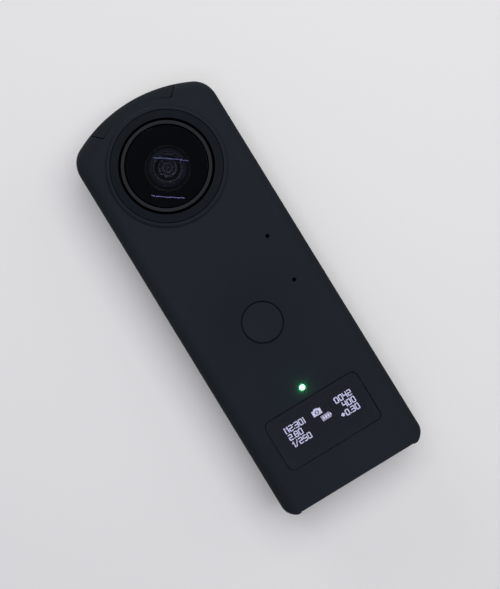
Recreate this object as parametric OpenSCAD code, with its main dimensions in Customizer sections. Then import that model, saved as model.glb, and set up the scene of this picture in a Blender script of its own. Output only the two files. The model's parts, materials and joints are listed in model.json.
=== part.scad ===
// Panoramic camera with a fisheye lens on each face.
// Millimetres. +Z is up, the front face looks along -Y, and the origin is the middle of the
// tripod bush's mouth on the base.

/* [Body] */
// Width of the body
body_w = 48; // [46:0.5:56]
// Height of the body
body_h = 132.5; // [128:0.5:150]
// Depth of the body without its lenses
body_d = 24; // [23:0.5:28]
// Wall of the two shells
wall = 1.4; // [1.1:0.1:1.7]
// Rounding of the long edges
edge_r = 4.5; // [3.5:0.25:5.5]
// Rounding of the front and rear edges of the top
top_edge_r = 9; // [7:0.5:10]
// Radius of the arc over the top
top_r = 45; // [40:1:60]
// Radius of the top corners
top_corner_r = 7; // [6:0.5:9]
// Radius of the base corners
base_corner_r = 3.5; // [2.5:0.25:5]
// Chamfer of the lower front and rear edges
base_edge = 0.4; // [0.2:0.1:0.8]
// Lift of the shells' lower edge between the base corners
base_relief = 0.3; // [0.1:0.1:0.6]
// Distance of that lift's ends from the sides
relief_inset = 4.5; // [4:0.25:6]

/* [Fits] */
// Clearance of a seated piece
fit_gap = 0.05; // [0.03:0.01:0.08]
// Clearance of a visible seam
seam_gap = 0.1; // [0.06:0.02:0.16]
// Clearance round the shutter button
shutter_gap = 0.3; // [0.15:0.05:0.4]
// Clearance round a side button
key_gap = 0.15; // [0.1:0.05:0.25]

/* [Lenses] */
// Distance from the top of the body to the lens axis
lens_drop = 24; // [23.5:0.25:27]
// Height of a dome's crown over the body's face
lens_reach = 2.85; // [2.5:0.05:3.5]
// Radius of a dome lens
dome_r = 12.55; // [11.5:0.05:12.8]
// Height of a dome's crown over its own edge
dome_crown = 1.85; // [1.4:0.05:2.2]
// Depth of a dome's edge
dome_edge = 3.5; // [3:0.1:3.8]
// Glass at the middle of a dome
dome_mid = 1.85; // [1.2:0.05:2.2]
// Radius of the hollow behind a dome
dome_hollow_r = 12; // [10.5:0.25:14]
// Width of the retaining ring
ring_w = 1; // [0.8:0.05:1.2]
// Height of the retaining ring over the dome's edge
ring_lift = 0.5; // [0.2:0.05:0.8]
// Width of the open groove round the retaining ring
groove_w = 0.8; // [0.5:0.05:1]
// Width of a lens bezel
bezel_w = 2.55; // [2:0.05:2.8]
// Rise of a bezel from its outer edge to its inner edge
bezel_rise = 0.4; // [0:0.05:0.8]
// Width of the raised rim round a bezel
rim_w = 1.6; // [1.2:0.1:2]
// Height of the raised rim over the body's face
rim_h = 0.9; // [0.5:0.05:1.2]
// Thickness of a lens gasket
gasket_t = 0.7; // [0.5:0.05:1]

/* [Folded optics] */
// Distance of a barrel's seat from the mid plane
barrel_seat = 5.3; // [5.2:0.05:5.6]
// Wall left behind a barrel's first step
barrel_lip = 1.3; // [1:0.1:1.6]
// Depth of the third lens's bore
third_bore = 1.6; // [1.4:0.1:1.8]
// Radius of a second lens
second_r = 6.4; // [5.5:0.1:7.5]
// Edge of a second lens
second_edge = 1; // [0.8:0.1:1.2]
// Crown of a second lens
second_crown = 1.3; // [0.8:0.1:1.5]
// Radius of a third lens
third_r = 3.5; // [3.2:0.1:4]
// Edge of a third lens
third_edge = 0.8; // [0.6:0.1:1]
// Crown of a third lens
third_crown = 0.6; // [0.3:0.1:0.7]
// Distance of an entry prism from the mid plane
entry_gap = 0.35; // [0.2:0.05:0.5]
// Leg of a fold prism
fold_leg = 3.7; // [3.2:0.1:3.7]
// Radius of the relay and exit tubes
tube_r = 2.6; // [2.4:0.05:2.7]
// Bore of the relay and exit tubes, as a radius
tube_bore_r = 1.8; // [1.4:0.1:2]
// Room between the relay tube and the barrel's seat
path_gap = 0.3; // [0.2:0.05:0.4]
// Distance of the downward path from the inside of the body's side
path_inset = 9.4; // [9.2:0.1:9.8]
// Distance from the lens axis down to an image sensor
sensor_drop = 18; // [17.5:0.25:20]
// Width of an image sensor
sensor_w = 13.6; // [11:0.1:14]
// Length of an image sensor
sensor_l = 11; // [9:0.5:12]
// Thickness of an image sensor
sensor_t = 1.7; // [1.2:0.1:2]
// Radius of an exit tube's foot
exit_foot_r = 4.8; // [4.2:0.1:5]
// Length of an exit tube's foot
exit_foot_h = 1.2; // [1:0.1:1.6]
// Length of the cone over that foot
exit_cone_h = 2.9; // [2:0.1:3.2]
// Thickness of an iris blade
iris_t = 0.2; // [0.1:0.05:0.3]
// Free room on each side of an iris blade
iris_room = 0.3; // [0.25:0.05:0.4]
// Distance from an iris blade's pivot to its stop
iris_arm = 6; // [5.6:0.1:6.4]
// Radius of an iris blade's disc
iris_r = 2.4; // [2.2:0.1:2.5]
// Radius of the stop in an iris blade
stop_r = 0.7; // [0.4:0.1:1]
// Swing of an iris blade
iris_swing = 40; // [20:5:40]
// Radius of an iris motor
motor_r = 2; // [1.6:0.1:2.2]
// Length of an iris motor
motor_l = 3.3; // [2.8:0.1:3.6]
// Radius of an iris motor's shaft
motor_shaft_r = 0.4; // [0.3:0.05:0.5]

/* [Controls] */
// Distance from the lens axis down to the shutter button
shutter_drop = 54.4; // [50:0.1:58]
// Radius of the shutter button
shutter_r = 6.05; // [5:0.25:7]
// Travel of the shutter button
shutter_travel = 0.4; // [0.2:0.05:0.6]
// Radius of the shutter button's stem
shutter_stem_r = 1.5; // [1:0.1:2]
// Thickness of the shutter button's flange
shutter_flange_t = 0.7; // [0.5:0.1:1]
// Lip of a button's flange behind its hole
flange_lip = 0.85; // [0.6:0.05:1]
// Side of the shutter switch
switch_w = 5; // [4:0.2:6]
// Height of the shutter switch's case
switch_h = 1.5; // [1.2:0.1:1.8]
// Height of the shutter switch's plunger
plunger_h = 0.45; // [0.3:0.05:0.6]
// Width of a side button
key_w = 3; // [2.4:0.1:3.6]
// Length of a side button
key_l = 6.2; // [5:0.1:7]
// Distance of the side key board below the lens block
key_drop = 2; // [1:0.25:5]
// Free room between the flanges of two side buttons
key_room = 0.8; // [0.4:0.1:2]
// Travel of a side button
key_travel = 0.3; // [0.2:0.05:0.4]
// Thickness of a side button's flange
key_flange_t = 0.6; // [0.4:0.05:0.8]
// Thickness of the side key board
key_board_t = 0.5; // [0.4:0.05:0.6]
// Height of a side switch's case
key_switch_h = 0.4; // [0.3:0.05:0.6]
// Height of a side switch's plunger
key_plunger_h = 0.1; // [0.05:0.01:0.2]

/* [Display and lamp] */
// Width of the display window
window_w = 31.8; // [28:0.2:34]
// Height of the display window
window_h = 16.3; // [14:0.1:18]
// Height of the window's centre
window_z = 19.85; // [18:0.05:21]
// Corner radius of the window
window_r = 1.9; // [1:0.1:2.5]
// Thickness of the window
window_t = 1; // [0.7:0.05:1.1]
// Width of the ledge behind the window
window_ledge = 1.4; // [1:0.1:1.8]
// Room beside the display panel in the window's opening
panel_side = 0.8; // [0.5:0.1:2]
// Room above and below the display panel in the window's opening
panel_end = 0.45; // [0.35:0.05:1]
// Thickness of the display panel
panel_t = 1.4; // [1.2:0.1:1.8]
// Height of the status lamp over the window
lamp_rise = 3.5; // [2.5:0.25:6]
// Radius of the status lamp
lamp_r = 0.9; // [0.6:0.05:1.2]
// Radius of the status lamp's collar
lamp_collar_r = 1.6; // [1.4:0.1:2]
// Thickness of the status lamp's collar
lamp_collar_t = 0.55; // [0.4:0.05:0.8]
// Height of the light source on the board
lamp_chip_h = 0.5; // [0.4:0.05:0.7]

/* [Sound] */
// Distance of the microphones from the middle
mic_x = 14.7; // [12:0.1:16]
// Distance from the lens axis down to the upper microphones
mic_high_drop = 33.3; // [30:0.1:36]
// Distance from the lens axis down to the lower microphones
mic_low_drop = 48.5; // [42:0.1:52]
// Radius of a microphone hole
mic_r = 0.6; // [0.4:0.05:0.8]
// Radius of a microphone gasket
mic_gasket_r = 1.5; // [1.2:0.1:1.8]
// Thickness of a microphone gasket
mic_gasket_t = 0.4; // [0.3:0.05:0.6]
// Width of a microphone
mic_w = 3; // [2.6:0.1:3.4]
// Length of a microphone
mic_l = 3.8; // [3:0.1:4.2]
// Thickness of a microphone
mic_t = 1; // [0.8:0.05:1.2]
// Height of the speaker's centre
speaker_z = 40; // [38:0.5:42]
// Distance of the speaker's centre behind the mid plane
speaker_y = 3; // [2.8:0.1:3.4]
// Depth of the speaker
speaker_w = 7; // [6:0.2:7.4]
// Length of the speaker
speaker_l = 12; // [10:0.5:13]
// Radius of a speaker hole
speaker_hole_r = 0.4; // [0.3:0.05:0.5]
// Distance between speaker holes
speaker_pitch = 2; // [1.6:0.1:2.2]
// Number of speaker holes
speaker_holes = 5; // [3:1:5]

/* [Antenna cap] */
// Distance of the cap's lower edge from the lens rim
cap_room = 2.15; // [1.6:0.05:2.9]
// Half the width of the cap's lower edge
cap_low_w = 11.8; // [10:0.1:12.5]
// Spread of the cap's side for each millimetre of height
cap_flare = 0.86; // [0.5:0.02:1]
// Half the width of the antenna
antenna_w = 9; // [6:0.5:10]
// Half the depth of the antenna
antenna_d = 4; // [3:0.25:5]
// Thickness of the antenna
antenna_t = 0.25; // [0.15:0.05:0.4]

/* [Base] */
// Distance of the base plate's ends from the body's sides
plate_side = 4; // [3:0.25:4.5]
// Distance of the base plate's edges from the body's faces
plate_inset = 2.1; // [2.1:0.1:2.6]
// Corner radius of the base plate
plate_r = 4; // [2:0.25:5]
// Lip of the base plate's flange behind the shells
plate_lip = 0.5; // [0.3:0.05:0.5]
// Height of the base plate's top
plate_t = 3; // [2.4:0.1:3.4]
// Radius of the tripod bush
bush_r = 5; // [4.6:0.1:5.2]
// Bore of the tripod bush, as a radius
bush_bore_r = 2.55; // [2.55:0.01:2.65]
// Depth of the tripod bush's bore
bush_bore_h = 5.5; // [4.5:0.25:6]
// Length of the tripod bush
bush_h = 7; // [6.6:0.2:8]
// Distance of the port socket's middle from the base plate's end
usb_inset = 7.5; // [7:0.1:8]
// Width of the port socket
usb_w = 8.94; // [8.94:0.01:9]
// Height of the port socket
usb_h = 3.26; // [3.2:0.01:3.3]
// Length of the port socket
usb_l = 7.35; // [6.5:0.05:8]
// Sheet of the port socket
usb_t = 0.3; // [0.2:0.05:0.35]
// Set-back of the port socket from the base
usb_back = 0.4; // [0.2:0.1:0.8]
// Width of the port's tongue
tongue_w = 6.7; // [6.6:0.05:6.8]
// Thickness of the port's tongue
tongue_t = 0.7; // [0.65:0.05:0.75]
// Wall behind the port's mouth
usb_floor = 1; // [0.6:0.1:1.4]
// Distance of the strap pocket's middle from the base plate's end
strap_inset = 7.6; // [7.4:0.1:8]
// Width of the strap pocket
strap_w = 6; // [5:0.2:6.4]
// Depth of the strap pocket, front to rear
strap_d = 7; // [6:0.2:8]
// Height of the strap pocket
strap_h = 4.6; // [4:0.1:5]
// Wall round the strap pocket
strap_wall = 1; // [0.8:0.1:1.2]
// Radius of the strap bar
strap_bar_r = 0.75; // [0.6:0.05:0.9]
// Height of the strap bar
strap_bar_z = 1.7; // [1.5:0.1:2]
// Distance of a base screw from the base plate's end
base_screw_inset = 2; // [1.8:0.1:2.2]
// Radius of a base screw's head
base_head_r = 1.3; // [1.1:0.05:1.4]
// Height of a base screw's head
base_head_h = 0.8; // [0.6:0.1:1]
// Set-back of a base screw's head
base_head_back = 0.3; // [0.1:0.1:0.5]
// Radius of a base screw's shank
base_shank_r = 0.7; // [0.6:0.05:0.8]
// Length of a base screw's shank
base_shank_l = 6; // [5:0.25:7]

/* [Inside] */
// Reach of the frame's side rails past the frame
rail_reach = 1.6; // [1.2:0.1:2]
// Thickness of the mid frame
frame_t = 1.2; // [1:0.1:1.4]
// Distance of the mid frame's rear face in front of the mid plane
frame_y = 2; // [1.8:0.1:2.1]
// Half the depth of the frame's side rails
rail_d = 3; // [2.6:0.1:3.4]
// Overlap of a side rail with the frame
rail_root = 1; // [0.6:0.1:1.2]
// Radius of the frame's boss round the tripod bush
boss_r = 7; // [6.6:0.1:7]
// Height of that boss over the base plate
boss_h = 5.5; // [5:0.25:6]
// Radius of the frame's feet
foot_r = 2.3; // [2.2:0.05:2.5]
// Margin of the frame left beside the main board
board_margin = 1.5; // [1:0.25:2]
// Lower edge of the main board
board_z = 10; // [9.5:0.5:11]
// Distance of the main board's upper edge under the lens block
board_drop = 3; // [2:0.5:5]
// Thickness of a circuit board
board_t = 0.8; // [0.6:0.05:1]
// Height of the board's standoffs
standoff_h = 1; // [0.8:0.1:1.2]
// Radius of the board's standoffs
standoff_r = 1.8; // [1.6:0.1:2]
// Inset of the board screws from the board's edges
screw_inset = 3; // [2.6:0.1:3.5]
// Radius of a board screw's shank
board_shank_r = 0.6; // [0.5:0.05:0.7]
// Radius of a board screw's head
board_head_r = 1.2; // [1:0.05:1.4]
// Height of a board screw's head
board_head_h = 0.6; // [0.4:0.05:0.8]
// Width of the shield can
shield_w = 20; // [16:0.5:22]
// Length of the shield can
shield_l = 16; // [12:0.5:17]
// Distance of the shield can's middle below the upper board screws
shield_drop = 10.5; // [9:0.5:11]
// Height of the shield can
shield_h = 1.4; // [1.2:0.1:1.8]
// Sheet of the shield can
shield_t = 0.2; // [0.15:0.05:0.3]
// Height of the processor's package
chip_h = 0.9; // [0.7:0.05:1]
// Side of the processor's package
chip_w = 10; // [8:0.5:12]
// Margin of the frame left beside the battery
battery_margin = 2; // [1.75:0.25:4]
// Thickness of the battery
battery_t = 9.6; // [8:0.2:10]
// Lower end of the battery
battery_z = 14; // [12:0.5:16]
// Length of the battery
battery_l = 50; // [40:1:56]
// Border of the battery left clear at the ends of its pad
pad_border = 3; // [2:0.5:5]
// Room between the battery pad and the rear microphones
pad_room = 1.2; // [0.5:0.1:3]

/* [Hidden] */
$fn = 96;
half_w = body_w / 2;
half_d = body_d / 2;
in_w = half_w - wall;
in_d = half_d - wall;
base_relief_w = half_w - relief_inset;
over = 1;
slices = 8;
arc_steps = 6;
corner_min = 0.5;

lens_z = body_h - lens_drop;
apex_d = half_d + lens_reach;
dome_rim_d = apex_d - dome_crown;
dome_seat_d = dome_rim_d - dome_edge;
hollow_d = apex_d - dome_mid - dome_hollow_r;
hollow_mouth_r = sqrt(dome_hollow_r * dome_hollow_r - pow(dome_seat_d - hollow_d, 2));
ring_r = dome_r + fit_gap + ring_w;
bezel_in_r = ring_r + groove_w;
bezel_r = bezel_in_r + bezel_w;
lens_hole_r = bezel_r + fit_gap;
rim_r = lens_hole_r + rim_w;
rim_d = half_d + rim_h;
block_d = in_d - gasket_t;
block_edge = 0.5;
block_r = lens_hole_r + block_edge;
barrel_step_d = dome_seat_d - barrel_lip;
third_top_d = barrel_seat + third_bore;
barrel_mouth = 0.9;
cap_r = rim_r + cap_room;

path_d = barrel_seat - path_gap - tube_r;
path_x = in_w - path_inset;
entry_low_d = entry_gap;
entry_leg = 2 * (path_d - entry_low_d);
fold_bore_r = max(tube_r + 2 * fit_gap, fold_leg / sqrt(2) + fit_gap);
motor_end_x = path_x - fold_bore_r - iris_room;
iris_slot = iris_t / 2 + iris_room;
iris_x = motor_end_x - motor_l - iris_slot;
relay_end_x = path_x - fold_bore_r - 2 * fit_gap;
exit_top = fold_leg / 2 + iris_room;
exit_cone = sensor_drop - exit_foot_h - exit_cone_h;
sensor_floor = sensor_drop + sensor_t + board_t;
block_skirt = 1;
block_drop = sensor_floor + block_skirt;
block_wall = 1;
block_w = path_x + sensor_w / 2 + block_wall;
block_rise = 4;
block_box_d = max(path_d + sensor_l / 2 + block_wall, path_d + exit_foot_r + block_wall);
block_z = lens_z - block_drop;
iris_low_d = path_d - iris_arm * sin(iris_swing) - iris_r - iris_room;
iris_hub_r = 1.1;
iris_web_w = 1.6;

key_flange_x = in_w - fit_gap;
key_tip_x = key_flange_x - key_flange_t - key_travel - fit_gap;
key_switch_x = key_tip_x - key_plunger_h;
key_board_x = key_switch_x - key_switch_h - key_board_t;
key_hole_w = key_w + 2 * key_gap;
key_hole_l = key_l + 2 * key_gap;
key_switch_w = 2.6;
key_count = 4;
key_margin = 5;
key_pitch = key_hole_l + 2 * flange_lip + key_room;
key_low_z = block_z - key_drop - key_margin - (key_count - 1) * key_pitch;
key_rail_z = key_low_z - key_margin;
key_rail_l = (key_count - 1) * key_pitch + 2 * key_margin;

plate_w = body_w - 2 * plate_side;
plate_d = body_d - 2 * plate_inset;
base_screw_x = plate_w / 2 - base_screw_inset;
strap_x = plate_w / 2 - strap_inset;
usb_x = usb_inset - plate_w / 2;

frame_w = key_board_x - rail_reach;
frame_front = -frame_y - frame_t;
board_w = frame_w - board_margin;
battery_w = frame_w - battery_margin;
board_back = frame_front - standoff_h;
board_front = board_back - board_t;
board_top_z = block_z - board_drop;
screw_x = board_w - screw_inset;
screw_low_z = board_z + screw_inset;
screw_high_z = board_top_z - screw_inset;
usb_y = board_front - usb_h / 2;
usb_corner = 1.2;
usb_tab_x = -boss_r - seam_gap;
usb_tab_z = plate_t + seam_gap;
shutter_z = lens_z - shutter_drop;
plunger_y = board_front - switch_h - plunger_h;
stem_y = plunger_y - fit_gap - shutter_travel;
shutter_hole_r = shutter_r + shutter_gap;
flange_y = -in_d + seam_gap;
lamp_z = window_z + window_h / 2 + lamp_rise;
panel_w = window_w - 2 * window_ledge - 2 * panel_side;
panel_h = window_h - 2 * window_ledge - 2 * panel_end;
mic_high_z = lens_z - mic_high_drop;
mic_low_z = lens_z - mic_low_drop;
speaker_x = in_w - fit_gap;
speaker_t = speaker_x - key_board_x - fit_gap;
battery_y = -frame_y;
pad_y = battery_y + battery_t;
pad_w = mic_x - mic_w / 2 - pad_room;
bush_hole_r = bush_r + fit_gap;
shield_z = screw_high_z - shield_drop;

body_black = [0.13, 0.14, 0.16];
plastic_black = [0.09, 0.09, 0.10];
rubber_black = [0.05, 0.05, 0.05];
metal_grey = [0.45, 0.46, 0.48];
glass_tint = [0.18, 0.22, 0.30];
clear_tint = [0.70, 0.80, 0.86];
board_green = [0.10, 0.32, 0.20];
lamp_green = [0.50, 0.95, 0.55];
battery_blue = [0.35, 0.42, 0.55];

// Insets and outlines of the body

// How far a rounded edge has drawn in at half depth h, for a form shrunk by inset.
function drawn_in(h, r, inset) =
  let (start = half_d - r, run = r - inset, rise = max(0, h - start))
  inset + run - sqrt(max(0, run * run - rise * rise));

// Points of a rounded rectangle about the origin.
function round_rect(w, h, r) =
  [for (q = [0:3], k = [0:arc_steps])
    let (a = 90 * (q + k / arc_steps),
         sx = (q == 0 || q == 3) ? 1 : -1,
         sy = q < 2 ? 1 : -1)
    [sx * (w / 2 - r) + r * cos(a), sy * (h / 2 - r) + r * sin(a)]];

// Corner circles and top arc of the front outline, drawn in at the sides, top and base.
module outline_marks(side_in, top_in, base_in) {
  half = half_w - side_in;
  arc_r = top_r - top_in;
  arc_z = body_h - top_r;
  rc = max(top_corner_r - side_in, corner_min);
  rb = max(base_corner_r - side_in, corner_min);
  xc = half - rc;
  zc = arc_z + sqrt(pow(arc_r - rc, 2) - xc * xc);
  touch = xc * arc_r / (arc_r - rc);
  for (m = [-1, 1]) {
    translate([m * xc, zc]) circle(rc, $fn = 32);
    translate([m * (half - rb), base_in + rb]) circle(rb, $fn = 24);
  }
  translate([0, arc_z]) intersection() {
    circle(arc_r, $fn = 120);
    translate([-touch, 0]) square([2 * touch, arc_r + over]);
  }
}

// The outer form of the body, shrunk by inset. A front or rear of 0 stops it at the mid plane.
module body_form(inset, front = 1, rear = 1) {
  start = half_d - top_edge_r;
  hull() for (k = [0:slices]) {
    h = start + (top_edge_r - inset) * sin(90 * k / slices);
    base_in = inset + (k == slices ? base_edge : 0);
    rotate([90, 0, 0]) translate([0, 0, -rear * h])
      linear_extrude((front + rear) * h)
        outline_marks(drawn_in(h, edge_r, inset), drawn_in(h, top_edge_r, inset), base_in);
  }
}

// A plate with rounded corners, starting at the origin and rising along +Z.
module round_plate(w, h, r, t) {
  linear_extrude(t) polygon(round_rect(w, h, r));
}

// A tube along +Z from low to high.
module tube(outer, inner, low, high) {
  translate([0, 0, low]) difference() {
    cylinder(r = outer, h = high - low);
    translate([0, 0, -over]) cylinder(r = inner, h = high - low + 2 * over);
  }
}

// Places: a lens axis with +Z outwards, a point on the front face with +Z inwards, a side button.
module at_lens(side) {
  translate([0, 0, lens_z]) rotate([0, 0, 180 * side]) rotate([90, 0, 0]) children();
}

module at_face(side, x, z) {
  rotate([0, 0, 180 * side]) translate([x, -half_d, z]) rotate([-90, 0, 0]) children();
}

module at_front(y, x, z) {
  translate([x, y, z]) rotate([-90, 0, 0]) children();
}

module at_key(i, x) {
  translate([x, 0, key_low_z + i * key_pitch]) rotate([0, 90, 0]) children();
}

module at_mics(side) {
  for (z = [mic_low_z, mic_high_z]) at_face(side, mic_x, z) children();
}

module at_board_screws() {
  for (x = [-screw_x, screw_x], z = [screw_low_z, screw_high_z])
    translate([x, 0, z]) rotate([-90, 0, 0]) children();
}

// Shells, cap and antenna

module lens_rim() {
  rotate_extrude()
    polygon([
      [lens_hole_r - fit_gap, in_d + fit_gap],
      [rim_r, in_d + fit_gap],
      [rim_r, half_d + rim_h / 4],
      [rim_r - rim_w / 5, rim_d - rim_h / 5],
      [rim_r - rim_w / 2, rim_d],
      [lens_hole_r - fit_gap, rim_d]
    ]);
}

// The region of the antenna cap seen from the front, grown by gap.
module cap_region(gap) {
  low = lens_z + sqrt(cap_r * cap_r - cap_low_w * cap_low_w);
  high = body_h + over;
  reach = cap_low_w + gap + cap_flare * (high - low);
  rotate([90, 0, 0]) linear_extrude(2 * body_d, center = true) difference() {
    polygon([
      [-cap_low_w - gap, low - gap], [cap_low_w + gap, low - gap], [reach, high], [-reach, high]
    ]);
    translate([0, lens_z]) circle(cap_r - gap);
  }
}

module shell_blank(side) {
  difference() {
    union() {
      difference() {
        body_form(0, 1 - side, side);
        body_form(wall);
      }
      at_lens(side) lens_rim();
    }
    at_lens(side) translate([0, 0, in_d - over])
      cylinder(r = lens_hole_r, h = lens_reach + wall + 2 * over);
    cap_region(seam_gap);
    at_mics(side) translate([0, 0, -over]) cylinder(r = mic_r, h = wall + 2 * over);
    for (i = [0:key_count - 1])
      at_key(i, in_w - over) round_plate(key_hole_l, key_hole_w, key_hole_w / 2, wall + 2 * over);
    translate([0, 0, -over])
      round_plate(plate_w + 2 * fit_gap, plate_d + 2 * fit_gap, plate_r, wall + 2 * over);
    translate([-base_relief_w, -half_d - over, -over])
      cube([2 * base_relief_w, body_d + 2 * over, over + base_relief]);
  }
}

module front_shell() {
  color(body_black) difference() {
    shell_blank(0);
    at_face(0, 0, shutter_z) translate([0, 0, -over])
      cylinder(r = shutter_hole_r, h = wall + 2 * over);
    at_face(0, 0, lamp_z) translate([0, 0, -over])
      cylinder(r = lamp_r + fit_gap, h = wall + 2 * over);
    at_face(0, 0, window_z) {
      translate([0, 0, -over])
        round_plate(window_w + 2 * seam_gap, window_h + 2 * seam_gap, window_r, window_t + over);
      round_plate(window_w - 2 * window_ledge, window_h - 2 * window_ledge, window_r, wall + over);
    }
  }
}

module rear_shell() {
  color(body_black) difference() {
    shell_blank(1);
    for (i = [0:speaker_holes - 1])
      translate([-half_w - over, speaker_y, speaker_z + (i - (speaker_holes - 1) / 2) * speaker_pitch])
        rotate([0, 90, 0]) cylinder(r = speaker_hole_r, h = wall + 2 * over);
  }
}

module antenna_cap() {
  color(plastic_black) intersection() {
    difference() {
      body_form(0);
      body_form(wall);
    }
    cap_region(0);
  }
}

module antenna() {
  color(metal_grey) intersection() {
    difference() {
      body_form(wall + fit_gap);
      body_form(wall + fit_gap + antenna_t);
    }
    translate([-antenna_w, -antenna_d, body_h - top_edge_r])
      cube([2 * antenna_w, 2 * antenna_d, top_edge_r]);
  }
}

// Lenses

module lens_dome() {
  sphere_r = (dome_r * dome_r + dome_crown * dome_crown) / (2 * dome_crown);
  difference() {
    intersection() {
      translate([0, 0, apex_d - sphere_r]) sphere(sphere_r, $fn = 240);
      translate([0, 0, dome_seat_d]) cylinder(r = dome_r, h = apex_d);
    }
    translate([0, 0, hollow_d]) sphere(dome_hollow_r, $fn = 160);
  }
}

module front_lens_dome() { color(glass_tint) at_lens(0) lens_dome(); }
module rear_lens_dome() { color(glass_tint) at_lens(1) lens_dome(); }

module lens_ring() { tube(ring_r, dome_r + fit_gap, dome_seat_d, dome_rim_d + ring_lift); }

module front_lens_ring() { color(metal_grey) at_lens(0) lens_ring(); }
module rear_lens_ring() { color(metal_grey) at_lens(1) lens_ring(); }

module lens_bezel() {
  rotate_extrude()
    polygon([[bezel_in_r, in_d], [bezel_r, in_d], [bezel_r, rim_d], [bezel_in_r, rim_d + bezel_rise]]);
}

module front_lens_bezel() { color(plastic_black) at_lens(0) lens_bezel(); }
module rear_lens_bezel() { color(plastic_black) at_lens(1) lens_bezel(); }

module lens_gasket() { tube(bezel_r, bezel_in_r, block_d, in_d); }

module front_lens_gasket() { color(rubber_black) at_lens(0) lens_gasket(); }
module rear_lens_gasket() { color(rubber_black) at_lens(1) lens_gasket(); }

module lens_barrel() {
  difference() {
    translate([0, 0, barrel_seat]) cylinder(r = ring_r, h = dome_seat_d - barrel_seat);
    translate([0, 0, barrel_step_d])
      cylinder(r = hollow_mouth_r + barrel_mouth, h = barrel_lip + over);
    translate([0, 0, third_top_d]) cylinder(r = second_r + fit_gap, h = dome_seat_d);
    translate([0, 0, barrel_seat - over]) cylinder(r = third_r + fit_gap, h = dome_seat_d);
  }
}

module front_lens_barrel() { color(plastic_black) at_lens(0) lens_barrel(); }
module rear_lens_barrel() { color(plastic_black) at_lens(1) lens_barrel(); }

// A lens with a flat foot, a straight edge and a crown.
module crowned_lens(r, edge, crown, low) {
  sphere_r = (r * r + crown * crown) / (2 * crown);
  intersection() {
    translate([0, 0, low + edge + crown - sphere_r]) sphere(sphere_r, $fn = 200);
    translate([0, 0, low]) cylinder(r = r, h = edge + crown + over);
  }
}

module front_second_lens() {
  color(clear_tint) at_lens(0) crowned_lens(second_r, second_edge, second_crown, third_top_d);
}

module rear_second_lens() {
  color(clear_tint) at_lens(1) crowned_lens(second_r, second_edge, second_crown, third_top_d);
}

module front_third_lens() {
  color(clear_tint) at_lens(0) crowned_lens(third_r, third_edge, third_crown, barrel_seat);
}

module rear_third_lens() {
  color(clear_tint) at_lens(1) crowned_lens(third_r, third_edge, third_crown, barrel_seat);
}

// Folded optics, in the frame of a lens: x to the right, y up, z outwards

module entry_prism() {
  leg = entry_leg / 2;
  rotate([90, 0, 0]) linear_extrude(entry_leg, center = true)
    polygon([
      [-leg, entry_low_d + entry_leg], [leg, entry_low_d + entry_leg], [leg, entry_low_d]
    ]);
}

module front_entry_prism() { color(clear_tint) at_lens(0) entry_prism(); }
module rear_entry_prism() { color(clear_tint) at_lens(1) entry_prism(); }

module relay_tube() {
  translate([0, 0, path_d]) rotate([0, 90, 0]) {
    tube(tube_r, tube_bore_r, entry_leg / 2 + 2 * fit_gap, iris_x - iris_slot);
    tube(tube_r, tube_bore_r, iris_x + iris_slot, relay_end_x);
  }
}

module front_relay_tube() { color(plastic_black) at_lens(0) relay_tube(); }
module rear_relay_tube() { color(plastic_black) at_lens(1) relay_tube(); }

module iris() {
  translate([iris_x, 0, path_d]) rotate([90, 0, 90]) linear_extrude(iris_t, center = true)
    difference() {
      union() {
        circle(iris_r);
        translate([-iris_arm, 0]) circle(iris_hub_r);
        translate([-iris_arm, -iris_web_w / 2]) square([iris_arm, iris_web_w]);
      }
      circle(stop_r);
      translate([-iris_arm, 0]) circle(motor_shaft_r + fit_gap);
    }
}

module front_iris() { color(metal_grey) at_lens(0) iris(); }
module rear_iris() { color(metal_grey) at_lens(1) iris(); }

module iris_motor() {
  translate([iris_x, -iris_arm, path_d]) rotate([0, 90, 0]) {
    translate([0, 0, iris_slot]) cylinder(r = motor_r, h = motor_l);
    translate([0, 0, -iris_slot]) cylinder(r = motor_shaft_r, h = 2 * iris_slot + over);
  }
}

module iris_motors() {
  color(metal_grey) for (side = [0, 1]) at_lens(side) iris_motor();
}

module fold_prism() {
  leg = fold_leg / 2;
  translate([path_x, 0, path_d]) linear_extrude(fold_leg, center = true)
    polygon([[-leg, leg], [-leg, -leg], [leg, -leg]]);
}

module front_fold_prism() { color(clear_tint) at_lens(0) fold_prism(); }
module rear_fold_prism() { color(clear_tint) at_lens(1) fold_prism(); }

module exit_tube() {
  mouth_r = exit_foot_r - tube_r + tube_bore_r;
  translate([path_x, 0, path_d]) rotate([90, 0, 0]) rotate_extrude()
    polygon([
      [tube_bore_r, exit_top], [tube_r, exit_top], [tube_r, exit_cone],
      [exit_foot_r, exit_cone + exit_cone_h], [exit_foot_r, sensor_drop],
      [mouth_r, sensor_drop], [tube_bore_r, exit_cone]
    ]);
}

module front_exit_tube() { color(plastic_black) at_lens(0) exit_tube(); }
module rear_exit_tube() { color(plastic_black) at_lens(1) exit_tube(); }

// A plate lying under the exit tube, between two distances below the lens axis.
module sensor_plate(w, l, from, to) {
  translate([path_x - w / 2, -to, path_d - l / 2]) cube([w, to - from, l]);
}

module image_sensor() { sensor_plate(sensor_w, sensor_l, sensor_drop, sensor_drop + sensor_t); }

module front_image_sensor() { color(glass_tint) at_lens(0) image_sensor(); }
module rear_image_sensor() { color(glass_tint) at_lens(1) image_sensor(); }

module sensor_boards() {
  color(board_green) for (side = [0, 1])
    at_lens(side) sensor_plate(sensor_w, sensor_l, sensor_drop + sensor_t, sensor_floor);
}

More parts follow.
